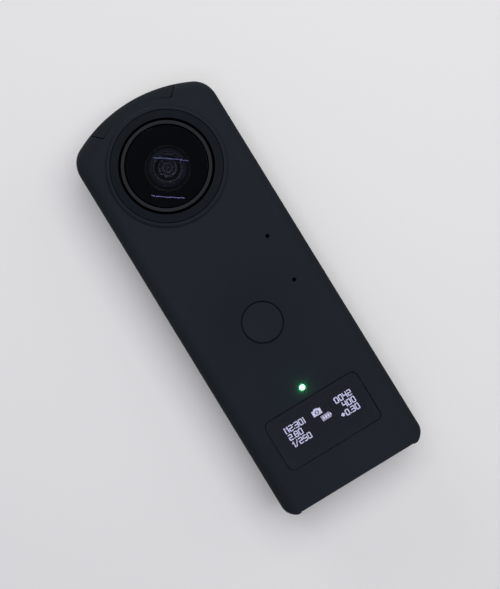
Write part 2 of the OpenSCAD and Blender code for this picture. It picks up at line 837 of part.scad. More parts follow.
// Room in the lens block for one lens and its folded path.
module block_rooms() {
  open_d = barrel_seat + fit_gap;
  translate([0, 0, block_d]) cylinder(r = lens_hole_r, h = half_d);
  translate([0, 0, barrel_seat]) cylinder(r = ring_r + fit_gap, h = half_d);
  translate([-entry_leg / 2 - fit_gap, -entry_leg / 2 - fit_gap, entry_low_d - fit_gap])
    cube([entry_leg + 2 * fit_gap, entry_leg + 2 * fit_gap, open_d - entry_low_d + fit_gap]);
  translate([0, 0, path_d]) rotate([0, 90, 0]) cylinder(r = tube_r + fit_gap, h = path_x);
  translate([0, -tube_r, path_d]) cube([path_x, 2 * tube_r, open_d - path_d]);
  translate([iris_x - iris_slot, -iris_arm - iris_hub_r - iris_room, iris_low_d])
    cube([2 * iris_slot, iris_arm + iris_hub_r + iris_r + 2 * iris_room, open_d - iris_low_d]);
  translate([iris_x, -iris_arm, path_d]) {
    rotate([0, 90, 0]) cylinder(r = motor_r + fit_gap, h = motor_end_x - iris_x + fit_gap);
    translate([0, -motor_r, 0])
      cube([motor_end_x - iris_x + fit_gap, 2 * motor_r, open_d - path_d]);
  }
  translate([path_x, 0, path_d]) rotate([90, 0, 0]) {
    translate([0, 0, -fold_leg / 2 - fit_gap]) cylinder(r = fold_bore_r, h = sensor_drop);
    translate([0, 0, exit_cone - fit_gap])
      cylinder(r = exit_foot_r + fit_gap, h = sensor_drop - exit_cone + 2 * fit_gap);
  }
  sensor_plate(sensor_w + 2 * fit_gap, sensor_l + 2 * fit_gap, sensor_drop, block_drop + over);
}

module lens_block() {
  color(plastic_black) difference() {
    intersection() {
      at_lens(0) {
        translate([0, 0, -block_d]) cylinder(r = block_r, h = 2 * block_d);
        translate([-block_w, -block_drop, -block_box_d])
          cube([2 * block_w, block_drop + block_rise, 2 * block_box_d]);
      }
      body_form(wall + fit_gap);
    }
    for (side = [0, 1]) at_lens(side) block_rooms();
  }
}

// Controls

module shutter_button() {
  flange_r = shutter_hole_r + flange_lip;
  color(body_black) {
    at_front(-half_d, 0, shutter_z) cylinder(r = shutter_r, h = flange_y + half_d);
    at_front(flange_y, 0, shutter_z) cylinder(r = flange_r, h = shutter_flange_t);
    at_front(flange_y, 0, shutter_z) cylinder(r = shutter_stem_r, h = stem_y - flange_y);
  }
}

module shutter_switch() {
  color(plastic_black) {
    at_front(board_front - switch_h, 0, shutter_z)
      translate([-switch_w / 2, -switch_w / 2, 0]) cube([switch_w, switch_w, switch_h]);
    at_front(plunger_y, 0, shutter_z) cylinder(r = shutter_stem_r, h = plunger_h);
  }
}

module side_button(i) {
  flange_w = key_hole_w + 2 * flange_lip;
  flange_l = key_hole_l + 2 * flange_lip;
  at_key(i, key_flange_x) round_plate(key_l, key_w, key_w / 2, half_w - key_flange_x);
  at_key(i, key_flange_x - key_flange_t) round_plate(flange_l, flange_w, flange_w / 2, key_flange_t);
}

module function_button() { color(body_black) side_button(0); }
module mode_button() { color(body_black) side_button(1); }
module wireless_button() { color(body_black) side_button(2); }
module power_button() { color(body_black) side_button(3); }

module side_key_board() {
  color(board_green) translate([key_board_x, -rail_d, key_rail_z])
    cube([key_board_t, 2 * rail_d, key_rail_l]);
}

module side_switches() {
  color(metal_grey) for (i = [0:key_count - 1]) {
    at_key(i, key_switch_x - key_switch_h)
      translate([-key_switch_w / 2, -key_switch_w / 2, 0])
        cube([key_switch_w, key_switch_w, key_switch_h]);
    at_key(i, key_switch_x) cylinder(r = key_switch_w / 4, h = key_plunger_h);
  }
}

// Display, lamp and sound

module display_window() {
  color(plastic_black) at_face(0, 0, window_z) round_plate(window_w, window_h, window_r, window_t);
}

module display_panel() {
  color(glass_tint) at_face(0, 0, window_z)
    translate([-panel_w / 2, -panel_h / 2, window_t]) cube([panel_w, panel_h, panel_t]);
}

module status_lamp() {
  tip_y = board_front - lamp_chip_h - fit_gap;
  color(lamp_green) {
    at_front(-half_d, 0, lamp_z) cylinder(r = lamp_r, h = tip_y + half_d);
    at_front(-in_d + fit_gap, 0, lamp_z) cylinder(r = lamp_collar_r, h = lamp_collar_t);
  }
}

module microphones() {
  color(metal_grey) for (side = [0, 1]) at_mics(side)
    translate([-mic_w / 2, -mic_l / 2, wall + mic_gasket_t]) cube([mic_w, mic_l, mic_t]);
}

module microphone_gaskets() {
  color(rubber_black) for (side = [0, 1]) at_mics(side)
    tube(mic_gasket_r, mic_r, wall, wall + mic_gasket_t);
}

module speaker() {
  color(plastic_black) translate([-speaker_x, speaker_y - speaker_w / 2, speaker_z - speaker_l / 2])
    cube([speaker_t, speaker_w, speaker_l]);
}

// Base

module base_plate() {
  color(plastic_black) difference() {
    union() {
      round_plate(plate_w, plate_d, plate_r, plate_t);
      translate([0, 0, wall + fit_gap])
        round_plate(plate_w + 2 * plate_lip, plate_d + 2 * plate_lip, plate_r, plate_t - wall - fit_gap);
      translate([strap_x - strap_w / 2 - strap_wall, -strap_d / 2 - strap_wall, 0])
        cube([strap_w + 2 * strap_wall, strap_d + 2 * strap_wall, strap_h + strap_wall]);
    }
    translate([0, 0, -over]) cylinder(r = bush_hole_r, h = plate_t + 2 * over);
    translate([usb_x, usb_y, -over])
      round_plate(usb_w + 2 * seam_gap, usb_h + 2 * seam_gap, usb_corner + seam_gap, plate_t + 2 * over);
    translate([strap_x - strap_w / 2, -strap_d / 2, -over]) cube([strap_w, strap_d, strap_h + over]);
    translate([strap_x, 0, strap_bar_z]) rotate([90, 0, 0])
      cylinder(r = strap_bar_r + fit_gap, h = strap_d + strap_wall, center = true);
    for (x = [-base_screw_x, base_screw_x]) translate([x, 0, -over]) {
      cylinder(r = base_head_r + fit_gap, h = over + base_head_back + base_head_h);
      cylinder(r = base_shank_r + fit_gap, h = plate_t + 2 * over);
    }
  }
}

module base_screws() {
  color(metal_grey) for (x = [-base_screw_x, base_screw_x]) translate([x, 0, base_head_back]) {
    cylinder(r = base_head_r, h = base_head_h);
    cylinder(r = base_shank_r, h = base_head_h + base_shank_l);
  }
}

module tripod_bush() {
  color(metal_grey) difference() {
    cylinder(r = bush_r, h = bush_h);
    translate([0, 0, -over]) cylinder(r = bush_bore_r, h = bush_bore_h + over);
  }
}

module usb_socket() {
  color(metal_grey) translate([usb_x, usb_y, usb_back]) difference() {
    round_plate(usb_w, usb_h, usb_corner, usb_l);
    translate([0, 0, -over])
      round_plate(usb_w - 2 * usb_t, usb_h - 2 * usb_t, usb_corner - usb_t, usb_l - usb_floor + over);
  }
}

module usb_tongue() {
  color(plastic_black)
    translate([usb_x - tongue_w / 2, usb_y - tongue_t / 2, usb_back + usb_floor])
      cube([tongue_w, tongue_t, usb_l - 2 * usb_floor]);
}

module strap_bar() {
  color(metal_grey) translate([strap_x, 0, strap_bar_z]) rotate([90, 0, 0])
    cylinder(r = strap_bar_r, h = strap_d + strap_wall - fit_gap, center = true);
}

// Inside

module mid_frame() {
  rail_w = rail_reach + rail_root;
  color(metal_grey) difference() {
    union() {
      translate([-frame_w, frame_front, plate_t]) cube([2 * frame_w, frame_t, block_z - plate_t]);
      translate([0, 0, plate_t]) cylinder(r = boss_r, h = boss_h);
      for (x = [-base_screw_x, base_screw_x])
        translate([x, 0, plate_t]) cylinder(r = foot_r, h = base_shank_l);
      translate([frame_w - rail_root, -rail_d, key_rail_z]) cube([rail_w, 2 * rail_d, key_rail_l]);
      translate([-key_board_x, frame_front, speaker_z - speaker_l / 2])
        cube([rail_w, speaker_y + speaker_w / 2 - frame_front, speaker_l]);
      at_board_screws() translate([0, 0, board_back]) cylinder(r = standoff_r, h = standoff_h);
    }
    translate([0, 0, -over]) cylinder(r = bush_hole_r, h = bush_h + fit_gap + over);
    for (x = [-base_screw_x, base_screw_x])
      translate([x, 0, 0]) cylinder(r = base_shank_r + fit_gap, h = base_head_back + base_head_h
        + base_shank_l + fit_gap);
    at_board_screws() translate([0, 0, board_back - over])
      cylinder(r = board_shank_r + fit_gap, h = standoff_h + frame_t + 2 * over);
    translate([strap_x - strap_w / 2 - strap_wall - fit_gap, -half_d, 0])
      cube([strap_w + 2 * strap_wall + 2 * fit_gap, body_d, strap_h + strap_wall + fit_gap]);
  }
}

module main_board() {
  color(board_green) difference() {
    union() {
      translate([-board_w, board_front, board_z]) cube([2 * board_w, board_t, board_top_z - board_z]);
      translate([-board_w, board_front, usb_tab_z])
        cube([board_w + usb_tab_x, board_t, board_z - usb_tab_z + over]);
    }
    at_board_screws() translate([0, 0, board_front - over])
      cylinder(r = board_shank_r + fit_gap, h = board_t + 2 * over);
  }
}

module board_screws() {
  color(metal_grey) at_board_screws() translate([0, 0, board_front]) {
    translate([0, 0, -board_head_h]) cylinder(r = board_head_r, h = board_head_h);
    cylinder(r = board_shank_r, h = board_t + standoff_h + frame_t - fit_gap);
  }
}

module board_chips() {
  color(plastic_black) {
    at_front(board_front - chip_h, 0, shield_z)
      translate([-chip_w / 2, -chip_w / 2, 0]) cube([chip_w, chip_w, chip_h]);
    at_front(board_front - lamp_chip_h, 0, lamp_z)
      translate([-lamp_r, -lamp_r, 0]) cube([2 * lamp_r, 2 * lamp_r, lamp_chip_h]);
  }
}

module shield_can() {
  color(metal_grey) at_front(board_front - shield_h, 0, shield_z) difference() {
    translate([-shield_w / 2, -shield_l / 2, 0]) cube([shield_w, shield_l, shield_h]);
    translate([-shield_w / 2 + shield_t, -shield_l / 2 + shield_t, shield_t])
      cube([shield_w - 2 * shield_t, shield_l - 2 * shield_t, shield_h]);
  }
}

module battery() {
  color(battery_blue) translate([-battery_w, battery_y, battery_z])
    cube([2 * battery_w, battery_t, battery_l]);
}

module battery_pad() {
  color(rubber_black) translate([-pad_w, pad_y, battery_z + pad_border])
    cube([2 * pad_w, in_d - pad_y - fit_gap, battery_l - 2 * pad_border]);
}

front_shell();
rear_shell();
antenna_cap();
antenna();
base_plate();
base_screws();
tripod_bush();
usb_socket();
usb_tongue();
strap_bar();
front_lens_dome();
rear_lens_dome();
front_lens_ring();
rear_lens_ring();
front_lens_bezel();
rear_lens_bezel();
front_lens_gasket();
rear_lens_gasket();
front_lens_barrel();
rear_lens_barrel();
front_second_lens();
rear_second_lens();
front_third_lens();
rear_third_lens();
front_entry_prism();
rear_entry_prism();
front_relay_tube();
rear_relay_tube();
front_iris();
rear_iris();
iris_motors();
front_fold_prism();
rear_fold_prism();
front_exit_tube();
rear_exit_tube();
front_image_sensor();
rear_image_sensor();
sensor_boards();
lens_block();
shutter_button();
shutter_switch();
power_button();
wireless_button();
mode_button();
function_button();
side_key_board();
side_switches();
display_window();
display_panel();
status_lamp();
microphones();
microphone_gaskets();
speaker();
mid_frame();
main_board();
board_screws();
board_chips();
shield_can();
battery();
battery_pad();
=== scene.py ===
"""Looks of a slim panoramic camera with a fisheye lens on each face.

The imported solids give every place. The classes below build finer meshes round them and give each
surface its finish. Lengths are in millimetres until a mesh is made, and in metres from there on.
"""

from __future__ import annotations

import json
import logging
import math
from collections.abc import Callable, Sequence
from dataclasses import dataclass, field, replace
from enum import Enum
from typing import Self

import bmesh
import bpy
from mathutils import Matrix, Vector

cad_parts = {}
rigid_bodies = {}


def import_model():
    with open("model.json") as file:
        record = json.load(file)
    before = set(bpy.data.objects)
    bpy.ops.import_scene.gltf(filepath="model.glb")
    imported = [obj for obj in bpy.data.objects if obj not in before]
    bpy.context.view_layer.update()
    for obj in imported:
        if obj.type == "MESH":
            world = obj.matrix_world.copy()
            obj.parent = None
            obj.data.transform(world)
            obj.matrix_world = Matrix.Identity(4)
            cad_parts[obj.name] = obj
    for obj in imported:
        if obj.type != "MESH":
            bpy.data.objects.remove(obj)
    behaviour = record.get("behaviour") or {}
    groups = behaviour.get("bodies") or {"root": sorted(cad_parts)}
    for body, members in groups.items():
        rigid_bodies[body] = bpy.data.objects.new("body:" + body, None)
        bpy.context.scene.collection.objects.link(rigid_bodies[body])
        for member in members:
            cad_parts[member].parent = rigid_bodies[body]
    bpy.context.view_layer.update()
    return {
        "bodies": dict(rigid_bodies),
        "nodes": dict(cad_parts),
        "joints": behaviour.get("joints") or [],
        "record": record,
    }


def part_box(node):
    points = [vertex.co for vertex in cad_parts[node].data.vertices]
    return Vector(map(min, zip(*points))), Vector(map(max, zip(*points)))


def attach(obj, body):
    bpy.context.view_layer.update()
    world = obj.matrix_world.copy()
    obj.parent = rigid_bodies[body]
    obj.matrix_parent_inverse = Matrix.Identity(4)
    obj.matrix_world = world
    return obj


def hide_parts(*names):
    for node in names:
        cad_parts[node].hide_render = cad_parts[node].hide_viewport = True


LOG = logging.getLogger("panoramic_camera")

MM = 0.001
BODY = "camera_body"
SHARP_ANGLE = math.radians(32)
OVER = 1.0  # How far a tool runs past the surface that it cuts

KEYS = ("function", "mode", "wireless", "power")
KEY_SIZE = (6.2, 3.0)
PLATE_SIZE = (40.0, 19.8)
PLATE_CORNER = 4.0
WINDOW_CORNER = 1.9
SHUTTER_R = 6.05
LAMP_R = 0.9
MIC_GASKET_R = 1.5

Point = tuple[float, float]
Triple = tuple[float, float, float]
Colour = Triple
Row = tuple[str, str]
Bar = tuple[int, int, int, int]
Dots = set[tuple[int, int]]
Thing = bpy.types.Object
Socket = bpy.types.NodeSocket


class Side(Enum):
    """The face of the camera that a piece belongs to."""

    FRONT = 0
    REAR = 1

    @property
    def word(self) -> str:
        """The side's word in a node's name."""
        return self.name.lower()


class Cut(Enum):
    """How a tool mesh works on a blank."""

    JOIN = "UNION"
    REMOVE = "DIFFERENCE"
    KEEP = "INTERSECT"


class Repeat(Enum):
    """The shape that a repeating tree sets on its points."""

    BOX = "box"
    ROD = "rod"
    MODEL = "model"


Tools = list[tuple[Thing, Cut]]


@dataclass(frozen=True)
class NodeBox:
    """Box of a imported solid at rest, in millimetres."""

    low: Vector
    high: Vector

    @classmethod
    def of(cls, node: str) -> NodeBox:
        """Read the box of one node.

        Args:
            node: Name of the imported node.

        Returns:
            Its box in millimetres.
        """
        low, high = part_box(node)
        return cls(low / MM, high / MM)

    @property
    def centre(self) -> Vector:
        """Middle of the box."""
        return (self.low + self.high) / 2

    @property
    def size(self) -> Vector:
        """Edge lengths of the box."""
        return self.high - self.low

    @property
    def on_front(self) -> Matrix:
        """Frame on the mid plane behind the box's middle, with z out of the front."""
        return face_frame(Side.FRONT, self.centre.x, self.centre.z)

    @property
    def on_base(self) -> Matrix:
        """Frame at the base under the box's middle."""
        return Matrix.Translation((self.centre.x, self.centre.y, 0))


# Outlines


def arc(centre: Point, radius: float, start: float, stop: float, steps: int) -> list[Point]:
    """Points along an arc, both ends included.

    Args:
        centre: Middle of the arc.
        radius: Its radius.
        start: First angle in degrees.
        stop: Last angle in degrees.
        steps: Number of chords.

    Returns:
        The points in order.
    """
    angles = [math.radians(start + (stop - start) * k / steps) for k in range(steps + 1)]
    return [(centre[0] + radius * math.cos(a), centre[1] + radius * math.sin(a)) for a in angles]


def round_rect(width: float, height: float, radius: float, steps: int = 10) -> list[Point]:
    """Outline of a rectangle with round corners about the origin.

    Args:
        width: Size along the first axis.
        height: Size along the second axis.
        radius: Corner radius.
        steps: Chords in each corner.

    Returns:
        The points, anticlockwise.
    """
    x, y = width / 2 - radius, height / 2 - radius
    corners = ((x, y, 0), (-x, y, 90), (-x, -y, 180), (x, -y, 270))
    return [p for cx, cy, a in corners for p in arc((cx, cy), radius, a, a + 90, steps)]


def rounded_corner(
    before: Point, corner: Point, after: Point, radius: float, steps: int = 6
) -> list[Point]:
    """Replace one corner of a polygon by a tangent arc.

    Args:
        before: Neighbour on one side.
        corner: The corner itself.
        after: Neighbour on the other side.
        radius: Radius of the arc.
        steps: Chords in the arc.

    Returns:
        Points of the arc from the first side to the second.
    """
    spot = Vector(corner)
    to_before = (Vector(before) - spot).normalized()
    to_after = (Vector(after) - spot).normalized()
    half = to_before.angle(to_after) / 2
    middle = spot + (to_before + to_after).normalized() * radius / math.sin(half)
    first = spot + to_before * radius / math.tan(half) - middle
    last = spot + to_after * radius / math.tan(half) - middle
    turn = first.angle_signed(last)
    return [tuple(middle + Matrix.Rotation(-turn * k / steps, 2) @ first) for k in range(steps + 1)]


def grown(size: Point, by: float) -> Point:
    """A width and a height with so much more on every side."""
    return size[0] + 2 * by, size[1] + 2 * by


def sphere_of(radius: float, rise: float) -> float:
    """Radius of the sphere whose cap of one radius rises so far, negative for a dish."""
    return (radius**2 + rise**2) / (2 * rise)


def cap_curve(radius: float, sphere: float, top: float, steps: int = 28) -> list[Point]:
    """Profile of a spherical cap from its axis to its edge.

    Args:
        radius: Radius of the edge.
        sphere: Radius of the sphere, negative for a dish.
        top: Height on the axis.
        steps: Chords in the profile.

    Returns:
        The points from the axis outwards.
    """
    reach = math.asin(radius / sphere)
    turns = [reach * k / steps for k in range(steps + 1)]
    return [(sphere * math.sin(a), top - sphere * (1 - math.cos(a))) for a in turns]


# Frames: local x and y lie in the face, and z leaves it


def lens_frame(side: Side, lens_z: float) -> Matrix:
    """Frame on a lens axis at the mid plane, with z outwards.

    Args:
        side: Face of the lens.
        lens_z: Height of the lens axis.

    Returns:
        The frame.
    """
    turn = Matrix.Rotation(math.pi * side.value, 4, "Z") @ Matrix.Rotation(math.pi / 2, 4, "X")
    return Matrix.Translation((0, 0, lens_z)) @ turn


def face_frame(side: Side, x: float, z: float) -> Matrix:
    """Frame on the mid plane behind a point of a face, with z outwards.

    Args:
        side: The face.
        x: Place across the face, as seen on that face.
        z: Height of the point.

    Returns:
        The frame.
    """
    turn = Matrix.Rotation(math.pi * side.value, 4, "Z")
    return turn @ Matrix.Translation((x, 0, z)) @ Matrix.Rotation(math.pi / 2, 4, "X")


def key_frame(z: float) -> Matrix:
    """Frame of a side button, with z along +X and x along -Z, at height z."""
    return Matrix.Translation((0, 0, z)) @ Matrix.Rotation(math.pi / 2, 4, "Y")


# Meshes


def finish_mesh(name: str, shape: bmesh.types.BMesh) -> Thing:
    """Turn a shape in millimetres into an object in metres with smooth, closed, outward faces.

    Args:
        name: Name of the object.
        shape: The shape, which is used up.

    Returns:
        The new object.
    """
    bmesh.ops.transform(shape, matrix=Matrix.Scale(MM, 4), verts=shape.verts)
    bmesh.ops.recalc_face_normals(shape, faces=shape.faces)
    mesh = bpy.data.meshes.new(name)
    shape.to_mesh(mesh)
    shape.free()
    thing = bpy.data.objects.new(name, mesh)
    bpy.context.scene.collection.objects.link(thing)
    smooth(thing)
    return thing


def smooth(thing: Thing) -> None:
    """Shade a mesh smooth between its sharp edges."""
    thing.data.shade_smooth()
    thing.data.set_sharp_from_angle(angle=SHARP_ANGLE)


def loft(name: str, rings: Sequence[Sequence[Vector]]) -> Thing:
    """Skin rings of equal length and close both ends.

    Args:
        name: Name of the object.
        rings: Rings of points in order.

    Returns:
        A closed object.
    """
    shape = bmesh.new()
    made = [[shape.verts.new(p) for p in ring] for ring in rings]
    for low, high in zip(made, made[1:]):
        for k in range(len(low)):
            n = (k + 1) % len(low)
            shape.faces.new((low[k], low[n], high[n], high[k]))
    shape.faces.new(made[0])
    shape.faces.new(made[-1])
    return finish_mesh(name, shape)


def lathe(
    name: str,
    profile: Sequence[Point] | Callable[[float], Sequence[Point]],
    frame: Matrix,
    steps: int = 144,
    coats: Sequence[int] = (),
) -> Thing:
    """Turn a profile about the z axis of a frame.

    A profile whose ends lie on the axis gives a solid, and any other gives a ring.

    Args:
        name: Name of the object.
        profile: Points of radius and height, in order, or a function that gives them for an angle.
        frame: Frame of the axis.
        steps: Number of facets round the axis.
        coats: Which of the piece's finishes each stretch of the profile takes, where it has several.

    Returns:
        A closed object.
    """
    shape = bmesh.new()
    angles = [2 * math.pi * k / steps for k in range(steps)]
    columns = [profile(a) if callable(profile) else profile for a in angles]
    rows = []
    for level in zip(*columns):
        spots = [Vector((r * math.cos(a), r * math.sin(a), h)) for a, (r, h) in zip(angles, level)]
        if level[0][0] == 0:
            spots = spots[:1]
        rows.append([shape.verts.new(frame @ p) for p in spots])
    pairs = list(zip(rows, rows[1:]))
    if len(rows[0]) > 1:
        pairs.append((rows[-1], rows[0]))
    for stretch, (low, high) in enumerate(pairs):
        for k in range(steps):
            n = (k + 1) % steps
            loop = [low[k % len(low)], low[n % len(low)], high[n % len(high)], high[k % len(high)]]
            face = shape.faces.new(list(dict.fromkeys(loop)))
            face.material_index = coats[stretch] if coats else 0
    return finish_mesh(name, shape)


def slab(name: str, size: Point, radius: float, levels: Sequence[Point], frame: Matrix) -> Thing:
    """Stack a round-cornered rectangle at several heights, each drawn in by its own amount.

    Args:
        name: Name of the object.
        size: Width and height without inset.
        radius: Corner radius without inset.
        levels: Pairs of height and inset, in order.
        frame: Frame of the slab.

    Returns:
        A closed object.
    """
    rings = []
    for height, inset in levels:
        outline = round_rect(*grown(size, -inset), radius - inset)
        rings.append([frame @ Vector((x, y, height)) for x, y in outline])
    return loft(name, rings)


def evaluated_mesh(thing: Thing) -> bpy.types.Mesh:
    """A plain copy of what an object's modifiers make."""
    graph = bpy.context.evaluated_depsgraph_get()
    return bpy.data.meshes.new_from_object(thing.evaluated_get(graph))


def carve(blank: Thing, tools: Tools) -> Thing:
    """Work a blank with tool meshes, which are used up.

    Args:
        blank: The object that is worked.
        tools: Tool objects and what each does, in order.

    Returns:
        The blank, with its new mesh.
    """
    for tool, how in tools:
        step = blank.modifiers.new(tool.name, "BOOLEAN")
        step.object = tool
        step.operation = how.value
        step.solver = "EXACT"
    mesh = evaluated_mesh(blank)
    blank.modifiers.clear()
    blank.data = mesh
    for tool, _ in tools:
        bpy.data.objects.remove(tool)
    smooth(blank)
    weigh = blank.modifiers.new("even_shading", "WEIGHTED_NORMAL")
    weigh.keep_sharp = True
    return blank


@dataclass
class Repeater:
    """Sets one small shape on many points with a node tree, and keeps the result as a mesh."""

    trees: dict[Repeat, bpy.types.NodeTree] = field(default_factory=dict)
    rod_sides: int = 24

    def tree(self, shape: Repeat) -> bpy.types.NodeTree:
        """Build the tree for one shape, once.

        Args:
            shape: What stands on each point.

        Returns:
            The tree, with inputs named Size, Radius, Length, Model and Finish.
        """
        if shape in self.trees:
            return self.trees[shape]
        tree = bpy.data.node_groups.new(f"repeat_{shape.value}", "GeometryNodeTree")
        face = tree.interface
        face.new_socket("Geometry", in_out="INPUT", socket_type="NodeSocketGeometry")
        for name, kind in (
            ("Size", "NodeSocketVector"),
            ("Radius", "NodeSocketFloat"),
            ("Length", "NodeSocketFloat"),
            ("Model", "NodeSocketObject"),
            ("Finish", "NodeSocketMaterial"),
        ):
            face.new_socket(name, in_out="INPUT", socket_type=kind)
        face.new_socket("Geometry", in_out="OUTPUT", socket_type="NodeSocketGeometry")
        start = tree.nodes.new("NodeGroupInput")
        put = tree.nodes.new("GeometryNodeInstanceOnPoints")
        real = tree.nodes.new("GeometryNodeRealizeInstances")
        coat = tree.nodes.new("GeometryNodeSetMaterial")
        end = tree.nodes.new("NodeGroupOutput")
        tree.links.new(start.outputs["Geometry"], put.inputs["Points"])
        tree.links.new(self.shape_output(tree, start, shape), put.inputs["Instance"])
        tree.links.new(put.outputs["Instances"], real.inputs["Geometry"])
        tree.links.new(real.outputs["Geometry"], coat.inputs["Geometry"])
        tree.links.new(start.outputs["Finish"], coat.inputs["Material"])
        tree.links.new(coat.outputs["Geometry"], end.inputs["Geometry"])
        self.trees[shape] = tree
        return tree

    def shape_output(self, tree: bpy.types.NodeTree, start: bpy.types.Node, shape: Repeat) -> Socket:
        """Add the node that makes the small shape.

        Args:
            tree: Tree that takes the node.
            start: Its input node.
            shape: What stands on each point.

        Returns:
            The socket that gives the shape.
        """
        if shape is Repeat.BOX:
            node = tree.nodes.new("GeometryNodeMeshCube")
            tree.links.new(start.outputs["Size"], node.inputs["Size"])
            return node.outputs["Mesh"]
        if shape is Repeat.ROD:
            node = tree.nodes.new("GeometryNodeMeshCylinder")
            node.inputs["Vertices"].default_value = self.rod_sides
            tree.links.new(start.outputs["Radius"], node.inputs["Radius"])
            tree.links.new(start.outputs["Length"], node.inputs["Depth"])
            turn = tree.nodes.new("GeometryNodeTransform")
            turn.inputs["Rotation"].default_value = (0, math.pi / 2, 0)
            tree.links.new(node.outputs["Mesh"], turn.inputs["Geometry"])
            return turn.outputs["Geometry"]
        node = tree.nodes.new("GeometryNodeObjectInfo")
        tree.links.new(start.outputs["Model"], node.inputs["Object"])
        return node.outputs["Geometry"]

    def scatter(
        self,
        name: str,
        points: Sequence[Vector],
        shape: Repeat,
        values: dict[str, object],
        material: bpy.types.Material | None = None,
    ) -> Thing:
        """Set a shape on points.

        Args:
            name: Name of the object.
            points: Places in millimetres.
            shape: What stands on each point.
            values: Values of the tree's named inputs, lengths in metres.
            material: Finish of the result.

        Returns:
            An object with a plain mesh.
        """
        mesh = bpy.data.meshes.new(name)
        mesh.from_pydata([p * MM for p in points], [], [])
        thing = bpy.data.objects.new(name, mesh)
        bpy.context.scene.collection.objects.link(thing)
        tree = self.tree(shape)
        modifier = thing.modifiers.new("repeat", "NODES")
        modifier.node_group = tree
        given = {**values, "Finish": material}
        for socket in tree.interface.items_tree:
            if socket.in_out == "INPUT" and given.get(socket.name) is not None:
                modifier[socket.identifier] = given[socket.name]
        made = evaluated_mesh(thing)
        thing.modifiers.clear()
        thing.data = made
        smooth(thing)
        return thing


# Finishes


